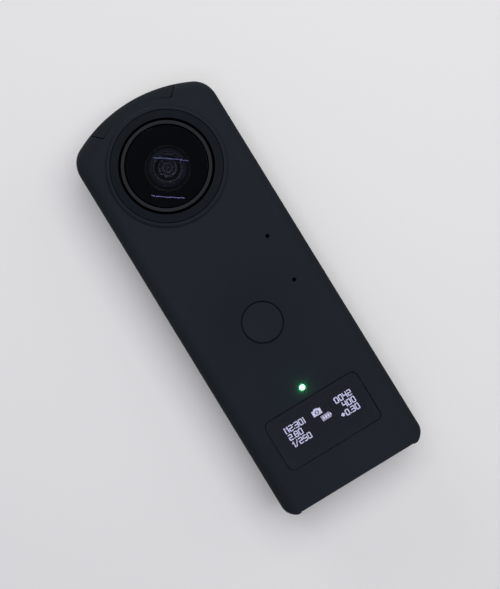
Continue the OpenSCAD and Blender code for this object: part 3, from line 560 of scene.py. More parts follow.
class NodeBench:
    """Adds and links the nodes of one material."""

    def __init__(self, name: str) -> None:
        """Start a material with a shader and Object coordinates.

        Args:
            name: Name of the material.
        """
        self.material = bpy.data.materials.new(name)
        self.material.use_nodes = True
        self.tree = self.material.node_tree
        self.tree.nodes.clear()
        self.shader = self.tree.nodes.new("ShaderNodeBsdfPrincipled")
        self.end = self.tree.nodes.new("ShaderNodeOutputMaterial")
        self.link(self.shader.outputs["BSDF"], self.end.inputs["Surface"])
        self.place = self.tree.nodes.new("ShaderNodeTexCoord").outputs["Object"]

    def link(self, out: Socket, into: Socket) -> None:
        """Link two sockets."""
        self.tree.links.new(out, into)

    def set(self, **values: object) -> None:
        """Set the shader's own sockets, with _ for a space in a name."""
        for name, value in values.items():
            self.shader.inputs[name.replace("_", " ")].default_value = value

    def node(self, kind: str, **values: object) -> bpy.types.Node:
        """Add a node and set its attributes.

        Args:
            kind: Type of the node.
            values: Its attributes.

        Returns:
            The node.
        """
        node = self.tree.nodes.new(kind)
        for name, value in values.items():
            setattr(node, name, value)
        return node

    def noise(self, scale: float, detail: float = 3.0, stretch: Sequence[float] = (1, 1, 1)) -> Socket:
        """Noise on Object coordinates.

        Args:
            scale: Spots to a metre.
            detail: Octaves.
            stretch: Scale along each axis.

        Returns:
            The noise value.
        """
        size = self.node("ShaderNodeMapping")
        size.inputs["Scale"].default_value = stretch
        self.link(self.place, size.inputs["Vector"])
        node = self.node("ShaderNodeTexNoise")
        node.inputs["Scale"].default_value = scale
        node.inputs["Detail"].default_value = detail
        self.link(size.outputs["Vector"], node.inputs["Vector"])
        return node.outputs["Fac"]

    def radius(self, centre: Vector) -> Socket:
        """Distance from an axis along y, in metres.

        Args:
            centre: A point of the axis, in millimetres.

        Returns:
            The distance.
        """
        flat = self.node("ShaderNodeVectorMath", operation="MULTIPLY")
        flat.inputs[1].default_value = (1, 0, 1)
        length = self.node("ShaderNodeVectorMath", operation="LENGTH")
        self.link(self.away(centre), flat.inputs[0])
        self.link(flat.outputs["Vector"], length.inputs[0])
        return length.outputs["Value"]

    def away(self, centre: Vector) -> Socket:
        """Object coordinates measured from a point.

        Args:
            centre: The point, in millimetres.

        Returns:
            The coordinates, in metres.
        """
        move = self.node("ShaderNodeMapping", vector_type="TEXTURE")
        move.inputs["Location"].default_value = centre * MM
        self.link(self.place, move.inputs["Vector"])
        return move.outputs["Vector"]

    def along(self, centre: Vector, way: Sequence[float]) -> Socket:
        """Distance from a point along a direction, in metres.

        Args:
            centre: The point, in millimetres.
            way: The direction, one long.

        Returns:
            The distance.
        """
        part = self.node("ShaderNodeVectorMath", operation="DOT_PRODUCT")
        part.inputs[1].default_value = way
        self.link(self.away(centre), part.inputs[0])
        return part.outputs["Value"]

    def math(self, operation: str, *terms: Socket | float) -> Socket:
        """One step of arithmetic on sockets and numbers.

        Args:
            operation: Name of the step.
            terms: What it works on, in order.

        Returns:
            The result.
        """
        node = self.node("ShaderNodeMath", operation=operation)
        for socket, term in zip(node.inputs, terms):
            if isinstance(term, (int, float)):
                socket.default_value = term
            else:
                self.link(term, socket)
        return node.outputs["Value"]

    def spread(self, value: Socket, low: float, high: float, span: Point = (0.3, 0.7)) -> Socket:
        """Map a value from one span to another.

        Args:
            value: Socket that varies.
            low: Result at the start of the span.
            high: Result at the end of the span.
            span: The part of the value's range that counts.

        Returns:
            The mapped value.
        """
        node = self.node("ShaderNodeMapRange")
        names = ("From Min", "From Max", "To Min", "To Max")
        for name, number in zip(names, (*span, low, high)):
            node.inputs[name].default_value = number
        self.link(value, node.inputs["Value"])
        return node.outputs["Result"]

    def tones(self, value: Socket, stops: Sequence[tuple[float, Colour]]) -> Socket:
        """Colours along a ramp.

        Args:
            value: Socket that varies.
            stops: Positions and colours, in order.

        Returns:
            The colour.
        """
        ramp = self.node("ShaderNodeValToRGB")
        marks = ramp.color_ramp.elements
        while len(marks) < len(stops):
            marks.new(0.5)
        for mark, (spot, colour) in zip(marks, stops):
            mark.position = spot
            mark.color = (*colour, 1)
        self.link(value, ramp.inputs["Fac"])
        return ramp.outputs["Color"]

    def let_through(self, when: Socket) -> None:
        """Show what is behind the surface for some rays.

        Args:
            when: 1 for the rays that pass.
        """
        clear = self.node("ShaderNodeBsdfTransparent")
        mix = self.node("ShaderNodeMixShader")
        self.link(when, mix.inputs[0])
        self.link(self.shader.outputs["BSDF"], mix.inputs[1])
        self.link(clear.outputs["BSDF"], mix.inputs[2])
        self.link(mix.outputs["Shader"], self.end.inputs["Surface"])

    def bump(self, height: Socket, depth: float) -> None:
        """Raise the surface.

        Args:
            height: Socket that gives the height.
            depth: How much a height of 1 is, in metres.
        """
        node = self.node("ShaderNodeBump")
        node.inputs["Strength"].default_value = 1.0
        node.inputs["Distance"].default_value = depth
        self.link(height, node.inputs["Height"])
        self.link(node.outputs["Normal"], self.shader.inputs["Normal"])


@dataclass(frozen=True)
class Finish:
    """A grained surface: paint, plastic, rubber, metal or board.

    Colour and roughness run between two ends, over broad clouds and a fine grain. Both are given in spots
    to a metre, and the depth of the relief in metres.
    """

    name: str
    slot: str
    dark: Colour
    light: Colour
    rough: Point
    specular: float = 0.5
    metallic: float = 0.0
    cloud: float = 60.0
    grain: float = 4000.0
    depth: float = 4e-6
    stretch: Triple = (1, 1, 1)
    cloud_share: float = 0.7
    tone_span: Point = (0.35, 0.65)

    def bench(self) -> NodeBench:
        """Build the nodes that every finish has.

        Returns:
            The bench, for a finish that adds to it.
        """
        bench = NodeBench(self.name)
        bench.set(Metallic=self.metallic, Specular_IOR_Level=self.specular)
        cloud = bench.noise(self.cloud, detail=4.0)
        grain = bench.noise(self.grain, detail=2.0, stretch=self.stretch)
        large = bench.math("MULTIPLY", cloud, self.cloud_share)
        mixed = bench.math("ADD", large, bench.math("MULTIPLY", grain, 1 - self.cloud_share))
        colour = bench.tones(mixed, list(zip(self.tone_span, (self.dark, self.light))))
        bench.link(colour, bench.shader.inputs["Base Color"])
        bench.link(bench.spread(mixed, *self.rough), bench.shader.inputs["Roughness"])
        self.relief(bench, grain)
        return bench

    def relief(self, bench: NodeBench, grain: Socket) -> None:
        """Give the surface its relief: here, its grain."""
        bench.bump(grain, self.depth)

    def build(self) -> bpy.types.Material:
        """The material, made once."""
        return bpy.data.materials.get(self.name) or self.bench().material


@dataclass(frozen=True)
class CentredFinish(Finish):
    """A surface that changes with the distance from an axis along y."""

    centre: Vector = field(default_factory=Vector)

    def about(self, centre: Vector) -> Self:
        """The same finish about another axis."""
        return replace(self, centre=centre)


@dataclass(frozen=True)
class TurnedFinish(CentredFinish):
    """A surface turned on a lathe, with fine rings about a lens axis."""

    pitch: float = 0.12
    broken: float = 0.8

    def relief(self, bench: NodeBench, grain: Socket) -> None:
        """Cut fine rings at the lathe's pitch, broken by the grain.

        Args:
            bench: Bench of the material.
            grain: Its grain.
        """
        turns = bench.math("MULTIPLY", bench.radius(self.centre), 2 * math.pi / (self.pitch * MM))
        rings = bench.math("ADD", bench.math("SINE", turns), bench.math("MULTIPLY", grain, self.broken))
        bench.bump(rings, self.depth)


@dataclass(frozen=True)
class BandedFinish(TurnedFinish):
    """A turned surface whose colour changes in rings, as in a lens barrel, and is lighter toward one side
    as a painted highlight.
    """

    bands: tuple[tuple[float, Colour], ...] = ()
    reach: float = 10.0
    # Painted highlight: the colour is scaled from the first factor to the second across the reach, along
    # the way
    sway: Point = (1.0, 1.0)
    sway_reach: float = 5.0
    sway_way: Triple = (0.522, 0.0, 0.853)

    def bench(self) -> NodeBench:
        """Build the turned surface, then colour it by its distance from the axis, lighter toward one side
        as a painted highlight.

        Returns:
            The bench.
        """
        bench = super().bench()
        away = bench.spread(bench.radius(self.centre), 0.0, 1.0, (0.0, self.reach * MM))
        colour = bench.tones(away, [(radius / self.reach, tone) for radius, tone in self.bands])
        span = (-self.sway_reach * MM, self.sway_reach * MM)
        shade = bench.node("ShaderNodeVectorMath", operation="SCALE")
        bench.link(colour, shade.inputs[0])
        level = bench.spread(bench.along(self.centre, self.sway_way), *self.sway, span)
        bench.link(level, shade.inputs["Scale"])
        bench.link(shade.outputs["Vector"], bench.shader.inputs["Base Color"])
        return bench


@dataclass(frozen=True)
class GlassFinish(Finish):
    """Clear glass or window with a coating that dims and tints its reflection."""

    tint: Colour = (1, 1, 1)
    index: float = 1.5
    dust_span: Point = (0.62, 0.8)
    haze_span: Point = (0.3, 0.7)

    def bench(self) -> NodeBench:
        """Build coated glass with faint dust.

        Returns:
            The bench.
        """
        bench = NodeBench(self.name)
        bench.set(IOR=self.index, Transmission_Weight=1.0, Specular_Tint=(*self.tint, 1))
        dust = bench.noise(self.grain, detail=1.0)
        haze = bench.noise(self.cloud, detail=3.0)
        colour = bench.tones(haze, list(zip(self.haze_span, (self.dark, self.light))))
        bench.link(colour, bench.shader.inputs["Base Color"])
        bench.link(bench.spread(dust, *self.rough, self.dust_span), bench.shader.inputs["Roughness"])
        bench.let_through(bench.node("ShaderNodeLightPath").outputs["Is Shadow Ray"])
        return bench


@dataclass(frozen=True)
class GlowFinish(CentredFinish):
    """A lit surface whose light falls off from a centre."""

    reach: float = 1.0
    strength: float = 1.0
    core: Colour = (1, 1, 1)
    edge: Colour = (0, 1, 0)

    def bench(self) -> NodeBench:
        """Build the grain, then the light on top of it.

        Returns:
            The bench.
        """
        bench = super().bench()
        away = bench.spread(bench.radius(self.centre), 0.0, 1.0, (0.0, self.reach * MM))
        colour = bench.tones(away, ((0.0, self.core), (1.0, self.edge)))
        bench.link(colour, bench.shader.inputs["Emission Color"])
        bench.set(Emission_Strength=self.strength)
        return bench


LENS_BLACK = TurnedFinish(
    "dull_optics", "optics_black", (0.0012, 0.0014, 0.002), (0.0028, 0.003, 0.004), (0.45, 0.55),
    specular=0.12, depth=2e-6, pitch=0.25,
)
# Barrel ring tones: partly the coating's own rings, partly painted reflections of the inner lens surfaces,
# lighter toward the top as a painted reflection
BARREL_DULL = (0.0080, 0.0106, 0.0160)
BARREL_DEEP = (0.015, 0.017, 0.024)
BARREL_SHADE = (0.024, 0.032, 0.045)
BARREL_BLUE = (0.11, 0.13, 0.17)
BARREL_EDGE = (0.22, 0.24, 0.27)
BARREL_RINGS_AND_REFLECTIONS = BandedFinish(
    "barrel_rings", "optics_black", BARREL_DULL, (0.0093, 0.0120, 0.0173), (0.5, 0.55),
    specular=0.2, depth=1e-8, pitch=0.25, sway=(0.8, 1.3),
    bands=(
        (3.5, BARREL_DEEP), (4.55, BARREL_DEEP), (4.65, (0.40, 0.39, 0.41)), (5.2, (0.39, 0.39, 0.42)),
        (5.3, BARREL_DEEP), (5.45, BARREL_DEEP), (5.52, (0.19, 0.22, 0.30)), (5.85, (0.18, 0.21, 0.29)),
        (5.92, BARREL_SHADE), (6.15, BARREL_SHADE), (6.22, BARREL_BLUE), (6.5, BARREL_BLUE),
        (6.6, BARREL_SHADE), (7.5, BARREL_SHADE), (7.56, BARREL_EDGE), (7.88, BARREL_EDGE),
        (7.95, BARREL_DULL),
    ),
)
# The third element is drawn opaque: its rings are partly the rings behind it and partly painted
# reflections, lighter toward the bottom as a painted highlight
PUPIL_DARK = (0.14, 0.13, 0.17)
PUPIL_SOFT = (0.52, 0.47, 0.56)
PUPIL_RING = (0.62, 0.57, 0.64)
PUPIL_RINGS_AND_REFLECTIONS = BandedFinish(
    "pupil_rings", "inner_glass", PUPIL_DARK, (0.18, 0.17, 0.22), (0.12, 0.13),
    specular=0.3, depth=1e-8, pitch=0.4, reach=3.6, sway=(1.25, 0.8), sway_reach=2.6,
    bands=(
        (0.0, PUPIL_SOFT), (0.42, PUPIL_SOFT), (0.5, PUPIL_DARK), (1.25, PUPIL_DARK), (1.33, PUPIL_SOFT),
        (1.75, PUPIL_SOFT), (1.83, PUPIL_DARK), (2.75, PUPIL_DARK), (2.83, PUPIL_RING), (3.2, PUPIL_RING),
        (3.28, PUPIL_DARK),
    ),
)
RING_METAL = TurnedFinish(
    "anodised_ring", "ring_metal", (0.0104, 0.0122, 0.0146), (0.0136, 0.0157, 0.0184), (0.48, 0.56),
    specular=0.16, depth=8e-7, pitch=0.16,
)
BEZEL_BLACK = TurnedFinish(
    "satin_bezel", "bezel_black", (0.0055, 0.0074, 0.0104), (0.0074, 0.0098, 0.0129), (0.52, 0.6),
    specular=0.07, depth=6e-7, pitch=0.2,
)
PAINT = Finish(
    "matte_body_paint", "body_paint", (0.0128, 0.0162, 0.0207), (0.0162, 0.0197, 0.0250), (0.56, 0.64),
    specular=0.02, cloud=24.0, grain=5200.0, depth=4e-6,
)
CAP_PLASTIC = Finish(
    "matte_cap", "cap_plastic", (0.0134, 0.0164, 0.0204), (0.0165, 0.0198, 0.0246), (0.60, 0.68),
    specular=0.01, cloud=30.0, grain=4200.0, depth=4e-6,
)
BASE_PLASTIC = Finish(
    "matte_base", "base_plastic", (0.0113, 0.0122, 0.0136), (0.0153, 0.0162, 0.0176), (0.56, 0.66),
    specular=0.13, cloud=45.0, grain=3000.0, depth=7e-6,
)
KEY_PAINT = replace(PAINT, name="matte_key_paint", rough=(0.54, 0.62), cloud=40.0)
# Rubber darkened to near black: on the lens gaskets at the foot of the groove it is painted shade
RUBBER_AND_GROOVE_SHADE = Finish(
    "gasket_rubber", "rubber", (0.0005, 0.0005, 0.0006), (0.0010, 0.0010, 0.0011), (0.75, 0.9),
    specular=0.02, grain=2600.0, depth=9e-6,
)
STEEL = Finish(
    "bright_steel", "steel", (0.22, 0.22, 0.215), (0.30, 0.30, 0.295), (0.34, 0.46),
    metallic=1.0, cloud=220.0, grain=2500.0, depth=1.5e-6, stretch=(1, 1, 0.1),
)
BLADE = Finish(
    "blackened_blade", "blade_metal", (0.02, 0.02, 0.022), (0.04, 0.04, 0.044), (0.35, 0.5),
    metallic=0.8, cloud=300.0, grain=3000.0, depth=1e-6,
)
BLACK_PLASTIC = Finish(
    "moulded_black", "black_plastic", (0.010, 0.010, 0.011), (0.018, 0.018, 0.019), (0.42, 0.58),
    cloud=90.0, grain=2400.0, depth=5e-6,
)
PANEL = Finish(
    "display_panel", "panel", (0.0067, 0.0067, 0.0100), (0.0074, 0.0074, 0.0112), (0.3, 0.34),
    specular=0.2, cloud=120.0, grain=5400.0, depth=1e-8,
)
CIRCUIT = Finish(
    "circuit_board", "circuit", (0.006, 0.05, 0.022), (0.012, 0.085, 0.04), (0.3, 0.45),
    cloud=160.0, grain=700.0, depth=1.2e-5,
)
SENSOR = Finish(
    "image_sensor", "sensor", (0.02, 0.022, 0.05), (0.04, 0.035, 0.09), (0.1, 0.2),
    specular=0.7, cloud=300.0, grain=6000.0, depth=5e-7,
)
FRAME_METAL = Finish(
    "cast_frame", "frame", (0.30, 0.30, 0.31), (0.42, 0.42, 0.43), (0.4, 0.55),
    metallic=1.0, cloud=80.0, grain=1500.0, depth=8e-6,
)
COPPER = Finish(
    "antenna_copper", "copper", (0.55, 0.27, 0.14), (0.70, 0.36, 0.20), (0.25, 0.4),
    metallic=1.0, cloud=150.0, grain=2600.0, depth=2e-6, stretch=(1, 0.1, 1),
)
CELL = Finish(
    "battery_wrap", "cell", (0.05, 0.06, 0.08), (0.09, 0.10, 0.13), (0.25, 0.42),
    cloud=70.0, grain=500.0, depth=2e-5,
)
GOLD = Finish(
    "contact_gold", "steel", (0.80, 0.55, 0.22), (0.92, 0.68, 0.32), (0.2, 0.3),
    metallic=1.0, cloud=400.0, grain=4000.0, depth=5e-7,
)
WINDOW = GlassFinish(
    "smoked_plastic", "window", (0.100, 0.100, 0.110), (0.112, 0.112, 0.124), (0.05, 0.06),
    grain=2400.0, tint=(0.66, 0.74, 1.0), index=1.49,
)
DOME_GLASS = GlassFinish(
    "coated_dome", "dome_glass", (0.0022, 0.0024, 0.0027), (0.0026, 0.0028, 0.0031), (0.0, 0.02),
    grain=900.0, tint=(0.098, 0.116, 0.156), index=1.62,
)
HOLLOW_GLASS = GlassFinish(
    "dome_hollow", "dome_glass", (0.95, 0.96, 0.98), (0.97, 0.98, 1.0), (0.0, 0.02),
    grain=900.0, tint=(0.0, 0.0, 0.0), index=1.62,
)
# Black ink on the dome's edge; on the groove walls of the retaining ring and the bezel it is painted shade
EDGE_INK_AND_GROOVE_SHADE = Finish(
    "lens_edge_ink", "dome_glass", (0.0006, 0.0006, 0.0007), (0.0012, 0.0012, 0.0014), (0.7, 0.8),
    specular=0.02, cloud=300.0, grain=3000.0, depth=1e-7,
)
# Near black: on the microphones behind their holes and on the lens block inside the lens it is painted
# shade
MESH_AND_RECESS_SHADE = Finish(
    "acoustic_mesh", "black_plastic", (0.0008, 0.0008, 0.0009), (0.0018, 0.0018, 0.002), (0.8, 0.9),
    specular=0.02, cloud=900.0, grain=6000.0, depth=4e-6,
)
INNER_GLASS = GlassFinish(
    "coated_element", "inner_glass", (0.90, 0.93, 0.97), (0.95, 0.97, 1.0), (0.0, 0.02),
    grain=900.0, tint=(0.0, 0.0, 0.0), index=1.62,
)
DOT_GLOW = GlowFinish(
    "display_dots", "panel", (0.6, 0.6, 0.75), (0.7, 0.7, 0.8), (0.4, 0.5),
    reach=14.0, strength=6.6, core=(0.80, 0.80, 1.0), edge=(0.72, 0.72, 0.96),
)
LAMP_GLOW = GlowFinish(
    "lamp_glow", "lamp", (0.35, 0.8, 0.5), (0.45, 0.9, 0.6), (0.2, 0.3),
    reach=1.25 * LAMP_R, strength=1.3, core=(0.78, 1.0, 0.90), edge=(0.12, 0.45, 0.22),
)


def dress(
    thing: Thing, finish: Finish, *nodes: str, body: str = BODY, others: Sequence[Finish] = ()
) -> Thing:
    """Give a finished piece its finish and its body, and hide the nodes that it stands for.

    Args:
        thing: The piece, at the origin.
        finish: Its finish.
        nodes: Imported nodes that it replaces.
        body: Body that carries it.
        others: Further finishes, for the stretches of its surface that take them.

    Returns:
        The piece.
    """
    coats = [face.material_index for face in thing.data.polygons]
    thing.data.materials.clear()
    for coat in (finish, *others):
        thing.data.materials.append(coat.build())
    thing.data.polygons.foreach_set("material_index", coats if others else [0] * len(coats))
    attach(thing, body)
    if nodes:
        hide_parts(*nodes)
    LOG.info("%s on %s, %d faces", thing.name, body, len(thing.data.polygons))
    return thing


# The body


@dataclass
class BodyForm:
    """The outer form of the body: a flat slab with a domed top and rounded edges."""

    half_w: float
    height: float
    half_d: float
    wall: float = 1.4
    edge_r: float = 4.5
    top_edge_r: float = 9.0
    top_r: float = 45.0
    top_corner_r: float = 7.0
    base_corner_r: float = 3.5
    base_edge_r: float = 0.4
    seam_edge: float = 0.09
    corner_min: float = 0.5
    slices: int = 24
    base_steps: int = 10
    corner_steps: int = 14
    top_steps: int = 64

    def drawn_in(self, h: float, radius: float, inset: float) -> float:
        """How far a rounded edge has drawn in at half depth h.

        Args:
            h: Distance from the mid plane.
            radius: Radius of the edge.
            inset: How far the whole form is shrunk.

        Returns:
            The distance from the outer form.
        """
        run = radius - inset
        rise = max(0.0, h - (self.half_d - radius))
        return inset + run - math.sqrt(max(0.0, run * run - rise * rise))

    def outline(self, side_in: float, top_in: float, base_in: float) -> list[Point]:
        """Front outline, drawn in at the sides, the top and the base.

        Args:
            side_in: Inset of the sides.
            top_in: Inset of the top.
            base_in: Inset of the base.

        Returns:
            The points, anticlockwise from the right base corner.
        """
        half = self.half_w - side_in
        arc_z = self.height - self.top_r
        arc_r = self.top_r - top_in
        rc = max(self.top_corner_r - side_in, self.corner_min)
        rb = max(self.base_corner_r - side_in, self.corner_min)
        xc = half - rc
        zc = arc_z + math.sqrt((arc_r - rc) ** 2 - xc * xc)
        lean = math.degrees(math.atan2(zc - arc_z, xc))
        right = arc((half - rb, base_in + rb), rb, -90, 0, self.base_steps)
        right += arc((xc, zc), rc, 0, lean, self.corner_steps)
        top = arc((0, arc_z), arc_r, lean, 180 - lean, self.top_steps)[1:-1]
        return right + top + [(-x, z) for x, z in reversed(right)]

    def ring(self, h: float, inset: float, toward: float) -> list[Vector]:
        """One slice of the form.

        Args:
            h: Distance from the mid plane.
            inset: How far the whole form is shrunk.
            toward: -1 for the front and 1 for the rear.

        Returns:
            The slice's points.
        """
        base_rise = max(0.0, h - (self.half_d - inset - self.base_edge_r))
        base_in = inset + self.base_edge_r - math.sqrt(max(0.0, self.base_edge_r**2 - base_rise**2))
        side_in = self.drawn_in(h, self.edge_r, inset)
        top_in = self.drawn_in(h, self.top_edge_r, inset)
        flat = self.outline(side_in, top_in, base_in)
        return [Vector((x, toward * h, z)) for x, z in flat]

    def depths(self, inset: float) -> list[float]:
        """Half depths of the slices from the start of the rounding to the face.

        Args:
            inset: How far the whole form is shrunk.

        Returns:
            The half depths.
        """
        start = self.half_d - self.top_edge_r
        run = self.top_edge_r - inset
        return [start + run * math.sin(math.pi / 2 * k / self.slices) for k in range(self.slices + 1)]

    def whole(self, name: str, inset: float) -> Thing:
        """The whole form, front and rear, shrunk by inset."""
        rings = [self.ring(h, inset, 1) for h in reversed(self.depths(inset))]
        return loft(name, rings + [self.ring(h, inset, -1) for h in self.depths(inset)])

    def half(self, name: str, side: Side) -> Thing:
        """One half of the form, with a fine chamfer at the seam.

        Args:
            name: Name of the object.
            side: The half.

        Returns:
            A closed object.
        """
        toward = 2 * side.value - 1
        edge = self.seam_edge
        seam = [Vector((x, 0, z)) for x, z in self.outline(edge, edge, edge)]
        rings = [self.ring(h, 0, toward) for h in [edge, *self.depths(0)]]
        return loft(name, [seam, *rings])


@dataclass
class Casing:
    """The two shells and the cap over the top."""

    form: BodyForm
    repeater: Repeater
    lens_z: float
    # Rim round each lens: its foot has a thin and a full radius, and fades between two sines
    lens_hole_r: float = 17.0
    rim_r: float = 18.6
    rim_h: float = 0.9
    rim_flat: float = 0.2
    rim_crown_r: float = 1.2
    rim_slope: float = 62.0
    rim_foot: Point = (0.04, 0.35)
    rim_fade: Point = (0.45, 0.75)
    rim_deep: float = 4.0
    # Cap: its lower seam runs round the rim, and its ends flare upwards
    cap_room: float = 2.15
    cap_low_w: float = 11.8
    cap_flare: float = 0.86
    cap_corner_r: float = 0.8
    cap_close: float = 0.25
    # Gaps, chamfered mouths and small holes
    seam_gap: float = 0.1
    fit_gap: float = 0.05
    shutter_gap: float = 0.3
    key_gap: float = 0.15
    mouth: float = 0.12
    mic_r: float = 0.6
    window_ledge: float = 1.4
    speaker_r: float = 0.4
    speaker_pitch: float = 2.0
    speaker_count: int = 5
    # Relief across the base
    relief: float = 0.3
    relief_inset: float = 4.5
    relief_corner: float = 0.2
    # Facets
    cap_steps: int = 24
    crown_steps: int = 10
    foot_steps: int = 8
    lens_steps: int = 192
    small_steps: int = 32

    def rim(self, side: Side) -> Thing:
        """The raised rim round a lens.

        A rounded crown runs out through a soft foot into the face. Above the lens, where the face falls
        away, the foot fades and the crown runs on as a cone.

        Args:
            side: Face of the lens.

        Returns:
            The rim.
        """
        face = self.form.half_d
        low = face - self.rim_deep
        inner = self.lens_hole_r - OVER
        lean = math.tan(math.radians(self.rim_slope))
        top = (self.lens_hole_r + self.rim_flat, face + self.rim_h - self.rim_crown_r)
        crown = arc(top, self.rim_crown_r, 90, 90 - self.rim_slope, self.crown_steps)
        meet = crown[-1][0] + (crown[-1][1] - face) / lean
        (thin, full), (start, stop) = self.rim_foot, self.rim_fade

        def profile(angle: float) -> list[Point]:
            """The rim's section at one angle.

            Args:
                angle: Angle round the lens.

            Returns:
                Points of radius and height.
            """
            share = min(max((stop - math.sin(angle)) / (stop - start), 0.0), 1.0)
            foot_r = thin + (full - thin) * share**2 * (3 - 2 * share)
            centre = (meet + foot_r * math.tan(math.radians(self.rim_slope / 2)), face + foot_r)
            foot = arc(centre, foot_r, 270 - self.rim_slope, 270, self.foot_steps)
            end = (foot[-1][0] + self.rim_deep / lean, low)
            return [(inner, low), (inner, face + self.rim_h), *crown, *foot, end]

        return lathe(f"{side.word}_rim", profile, lens_frame(side, self.lens_z), self.lens_steps)

    def bore(self, name: str, frame: Matrix, radius: float, face: float, steps: int = 96) -> Thing:
        """A round cutter with a chamfered mouth.

        Args:
            name: Name of the cutter.
            frame: Frame with z along the bore.
            radius: Radius of the bore.
            face: Height of the surface that it opens on.
            steps: Facets round it.

        Returns:
            The cutter.
        """
        low = self.form.half_d - self.form.wall - OVER
        wide = radius + self.mouth
        profile = [(0, low), (radius, low), (radius, face - self.mouth), (wide, face)]
        return lathe(name, [*profile, (wide, face + OVER), (0, face + OVER)], frame, steps)

    def mouth_levels(self, low: float, face: float) -> list[Point]:
        """Heights and insets of a straight cutter with a chamfered mouth."""
        return [(low, 0), (face - self.mouth, 0), (face, -self.mouth), (face + OVER, -self.mouth)]

    def cap_outline(self, gap: float) -> list[Point]:
        """Outline of the cap seen from the front, grown by gap.

        Args:
            gap: Distance by which the outline grows.

        Returns:
            The points, anticlockwise.
        """
        cap_r = self.rim_r + self.cap_room
        low = self.lens_z + math.sqrt(cap_r**2 - self.cap_low_w**2)
        high = self.form.height + OVER
        half = self.cap_low_w + gap
        reach = half + self.cap_flare * (high - low)
        lean = math.acos(half / (cap_r - gap))
        edge = []
        for k in range(self.cap_steps + 1):
            turn = lean + (math.pi - 2 * lean) * k / self.cap_steps
            share = max(self.cap_close, (math.cos(turn) / math.cos(lean)) ** 2)
            radius = cap_r - gap * share
            edge.append((radius * math.cos(turn), self.lens_z + radius * math.sin(turn)))
        start = rounded_corner((reach, high), edge[0], edge[1], self.cap_corner_r)
        stop = rounded_corner(edge[-2], edge[-1], (-reach, high), self.cap_corner_r)
        return [(reach, high), *start, *edge[1:-1], *stop, (-reach, high)]

    def cap_prism(self, name: str, gap: float) -> Thing:
        """The cap's outline as a prism through the whole depth."""
        reach = self.form.half_d + OVER
        return loft(name, [[Vector((x, y, z)) for x, z in self.cap_outline(gap)] for y in (-reach, reach)])

    def mic_cutters(self, side: Side) -> list[Thing]:
        """Cutters of the two microphone holes in one face.

        Args:
            side: The face.

        Returns:
            The cutters.
        """
        mics = NodeBox.of("microphone_gaskets")
        cutters = []
        for z in (mics.low.z + MIC_GASKET_R, mics.high.z - MIC_GASKET_R):
            frame = face_frame(side, mics.high.x - MIC_GASKET_R, z)
            cutters.append(self.bore("mic_hole", frame, self.mic_r, self.form.half_d, self.small_steps))
        return cutters

    def key_cutters(self) -> list[Thing]:
        """Cutters of the side keys' holes, which both shells share.

        Returns:
            The cutters.
        """
        form = self.form
        size = grown(KEY_SIZE, self.key_gap)
        levels = self.mouth_levels(form.half_w - form.wall - OVER, form.half_w)
        cutters = []
        for key in KEYS:
            frame = key_frame(NodeBox.of(f"{key}_button").centre.z)
            cutters.append(slab(f"{key}_hole", size, size[1] / 2, levels, frame))
        return cutters

    def base_cutters(self) -> list[Thing]:
        """Cutters of the base: the plate's opening and the shallow relief across its edges.

        Returns:
            The cutters.
        """
        form = self.form
        rise = self.relief + self.mouth
        mouth = [(-OVER, -self.mouth), (self.relief, -self.mouth), (rise, 0), (form.wall + OVER, 0)]
        groove = (2 * (form.half_w - self.relief_inset), 4 * form.half_d)
        shallow = [(-OVER, 0), (self.relief, 0)]
        return [
            slab("base_opening", grown(PLATE_SIZE, self.fit_gap), PLATE_CORNER, mouth, Matrix()),
            slab("base_relief", groove, self.relief_corner, shallow, Matrix()),
        ]

    def shared_tools(self, side: Side) -> Tools:
        """The rim and the cutters that both shells have.

        Args:
            side: The shell.

        Returns:
            The tools and what they do.
        """
        form = self.form
        axis = lens_frame(side, self.lens_z)
        cutters = (
            form.whole("cavity", form.wall),
            self.bore("lens_bore", axis, self.lens_hole_r, form.half_d + self.rim_h, self.lens_steps),
            self.cap_prism("cap_seam", self.seam_gap),
            *self.mic_cutters(side),
            *self.key_cutters(),
            *self.base_cutters(),
        )
        return [(self.rim(side), Cut.JOIN), *((tool, Cut.REMOVE) for tool in cutters)]

    def front_tools(self) -> Tools:
        """Cutters of the front shell: shutter button, lamp and display window.

        Returns:
            The cutters and what they do.
        """
        face = self.form.half_d
        window = NodeBox.of("display_window")
        size = (window.size.x, window.size.z)
        inner = grown(size, -self.window_ledge)
        corner = WINDOW_CORNER + self.seam_gap
        seat = self.mouth_levels(-window.high.y, face)
        through = [(face - self.form.wall - OVER, 0), (face, 0)]
        at_button = NodeBox.of("shutter_button").on_front
        at_lamp = NodeBox.of("status_lamp").on_front
        cutters = (
            slab("window_recess", grown(size, self.seam_gap), corner, seat, window.on_front),
            slab("window_opening", inner, WINDOW_CORNER, through, window.on_front),
            self.bore("shutter_hole", at_button, SHUTTER_R + self.shutter_gap, face),
            self.bore("lamp_hole", at_lamp, LAMP_R + self.fit_gap, face, self.small_steps),
        )
        return [(tool, Cut.REMOVE) for tool in cutters]

    def rear_tools(self) -> Tools:
        """Cutter of the rear shell: the speaker's holes.

        Returns:
            The cutter and what it does.
        """
        speaker = NodeBox.of("speaker").centre
        first = -(self.speaker_count - 1) / 2
        places = [
            Vector((-self.form.half_w, speaker.y, speaker.z + (first + k) * self.speaker_pitch))
            for k in range(self.speaker_count)
        ]
        sizes = {"Radius": self.speaker_r * MM, "Length": 2 * (self.form.wall + OVER) * MM}
        return [(self.repeater.scatter("speaker_holes", places, Repeat.ROD, sizes), Cut.REMOVE)]

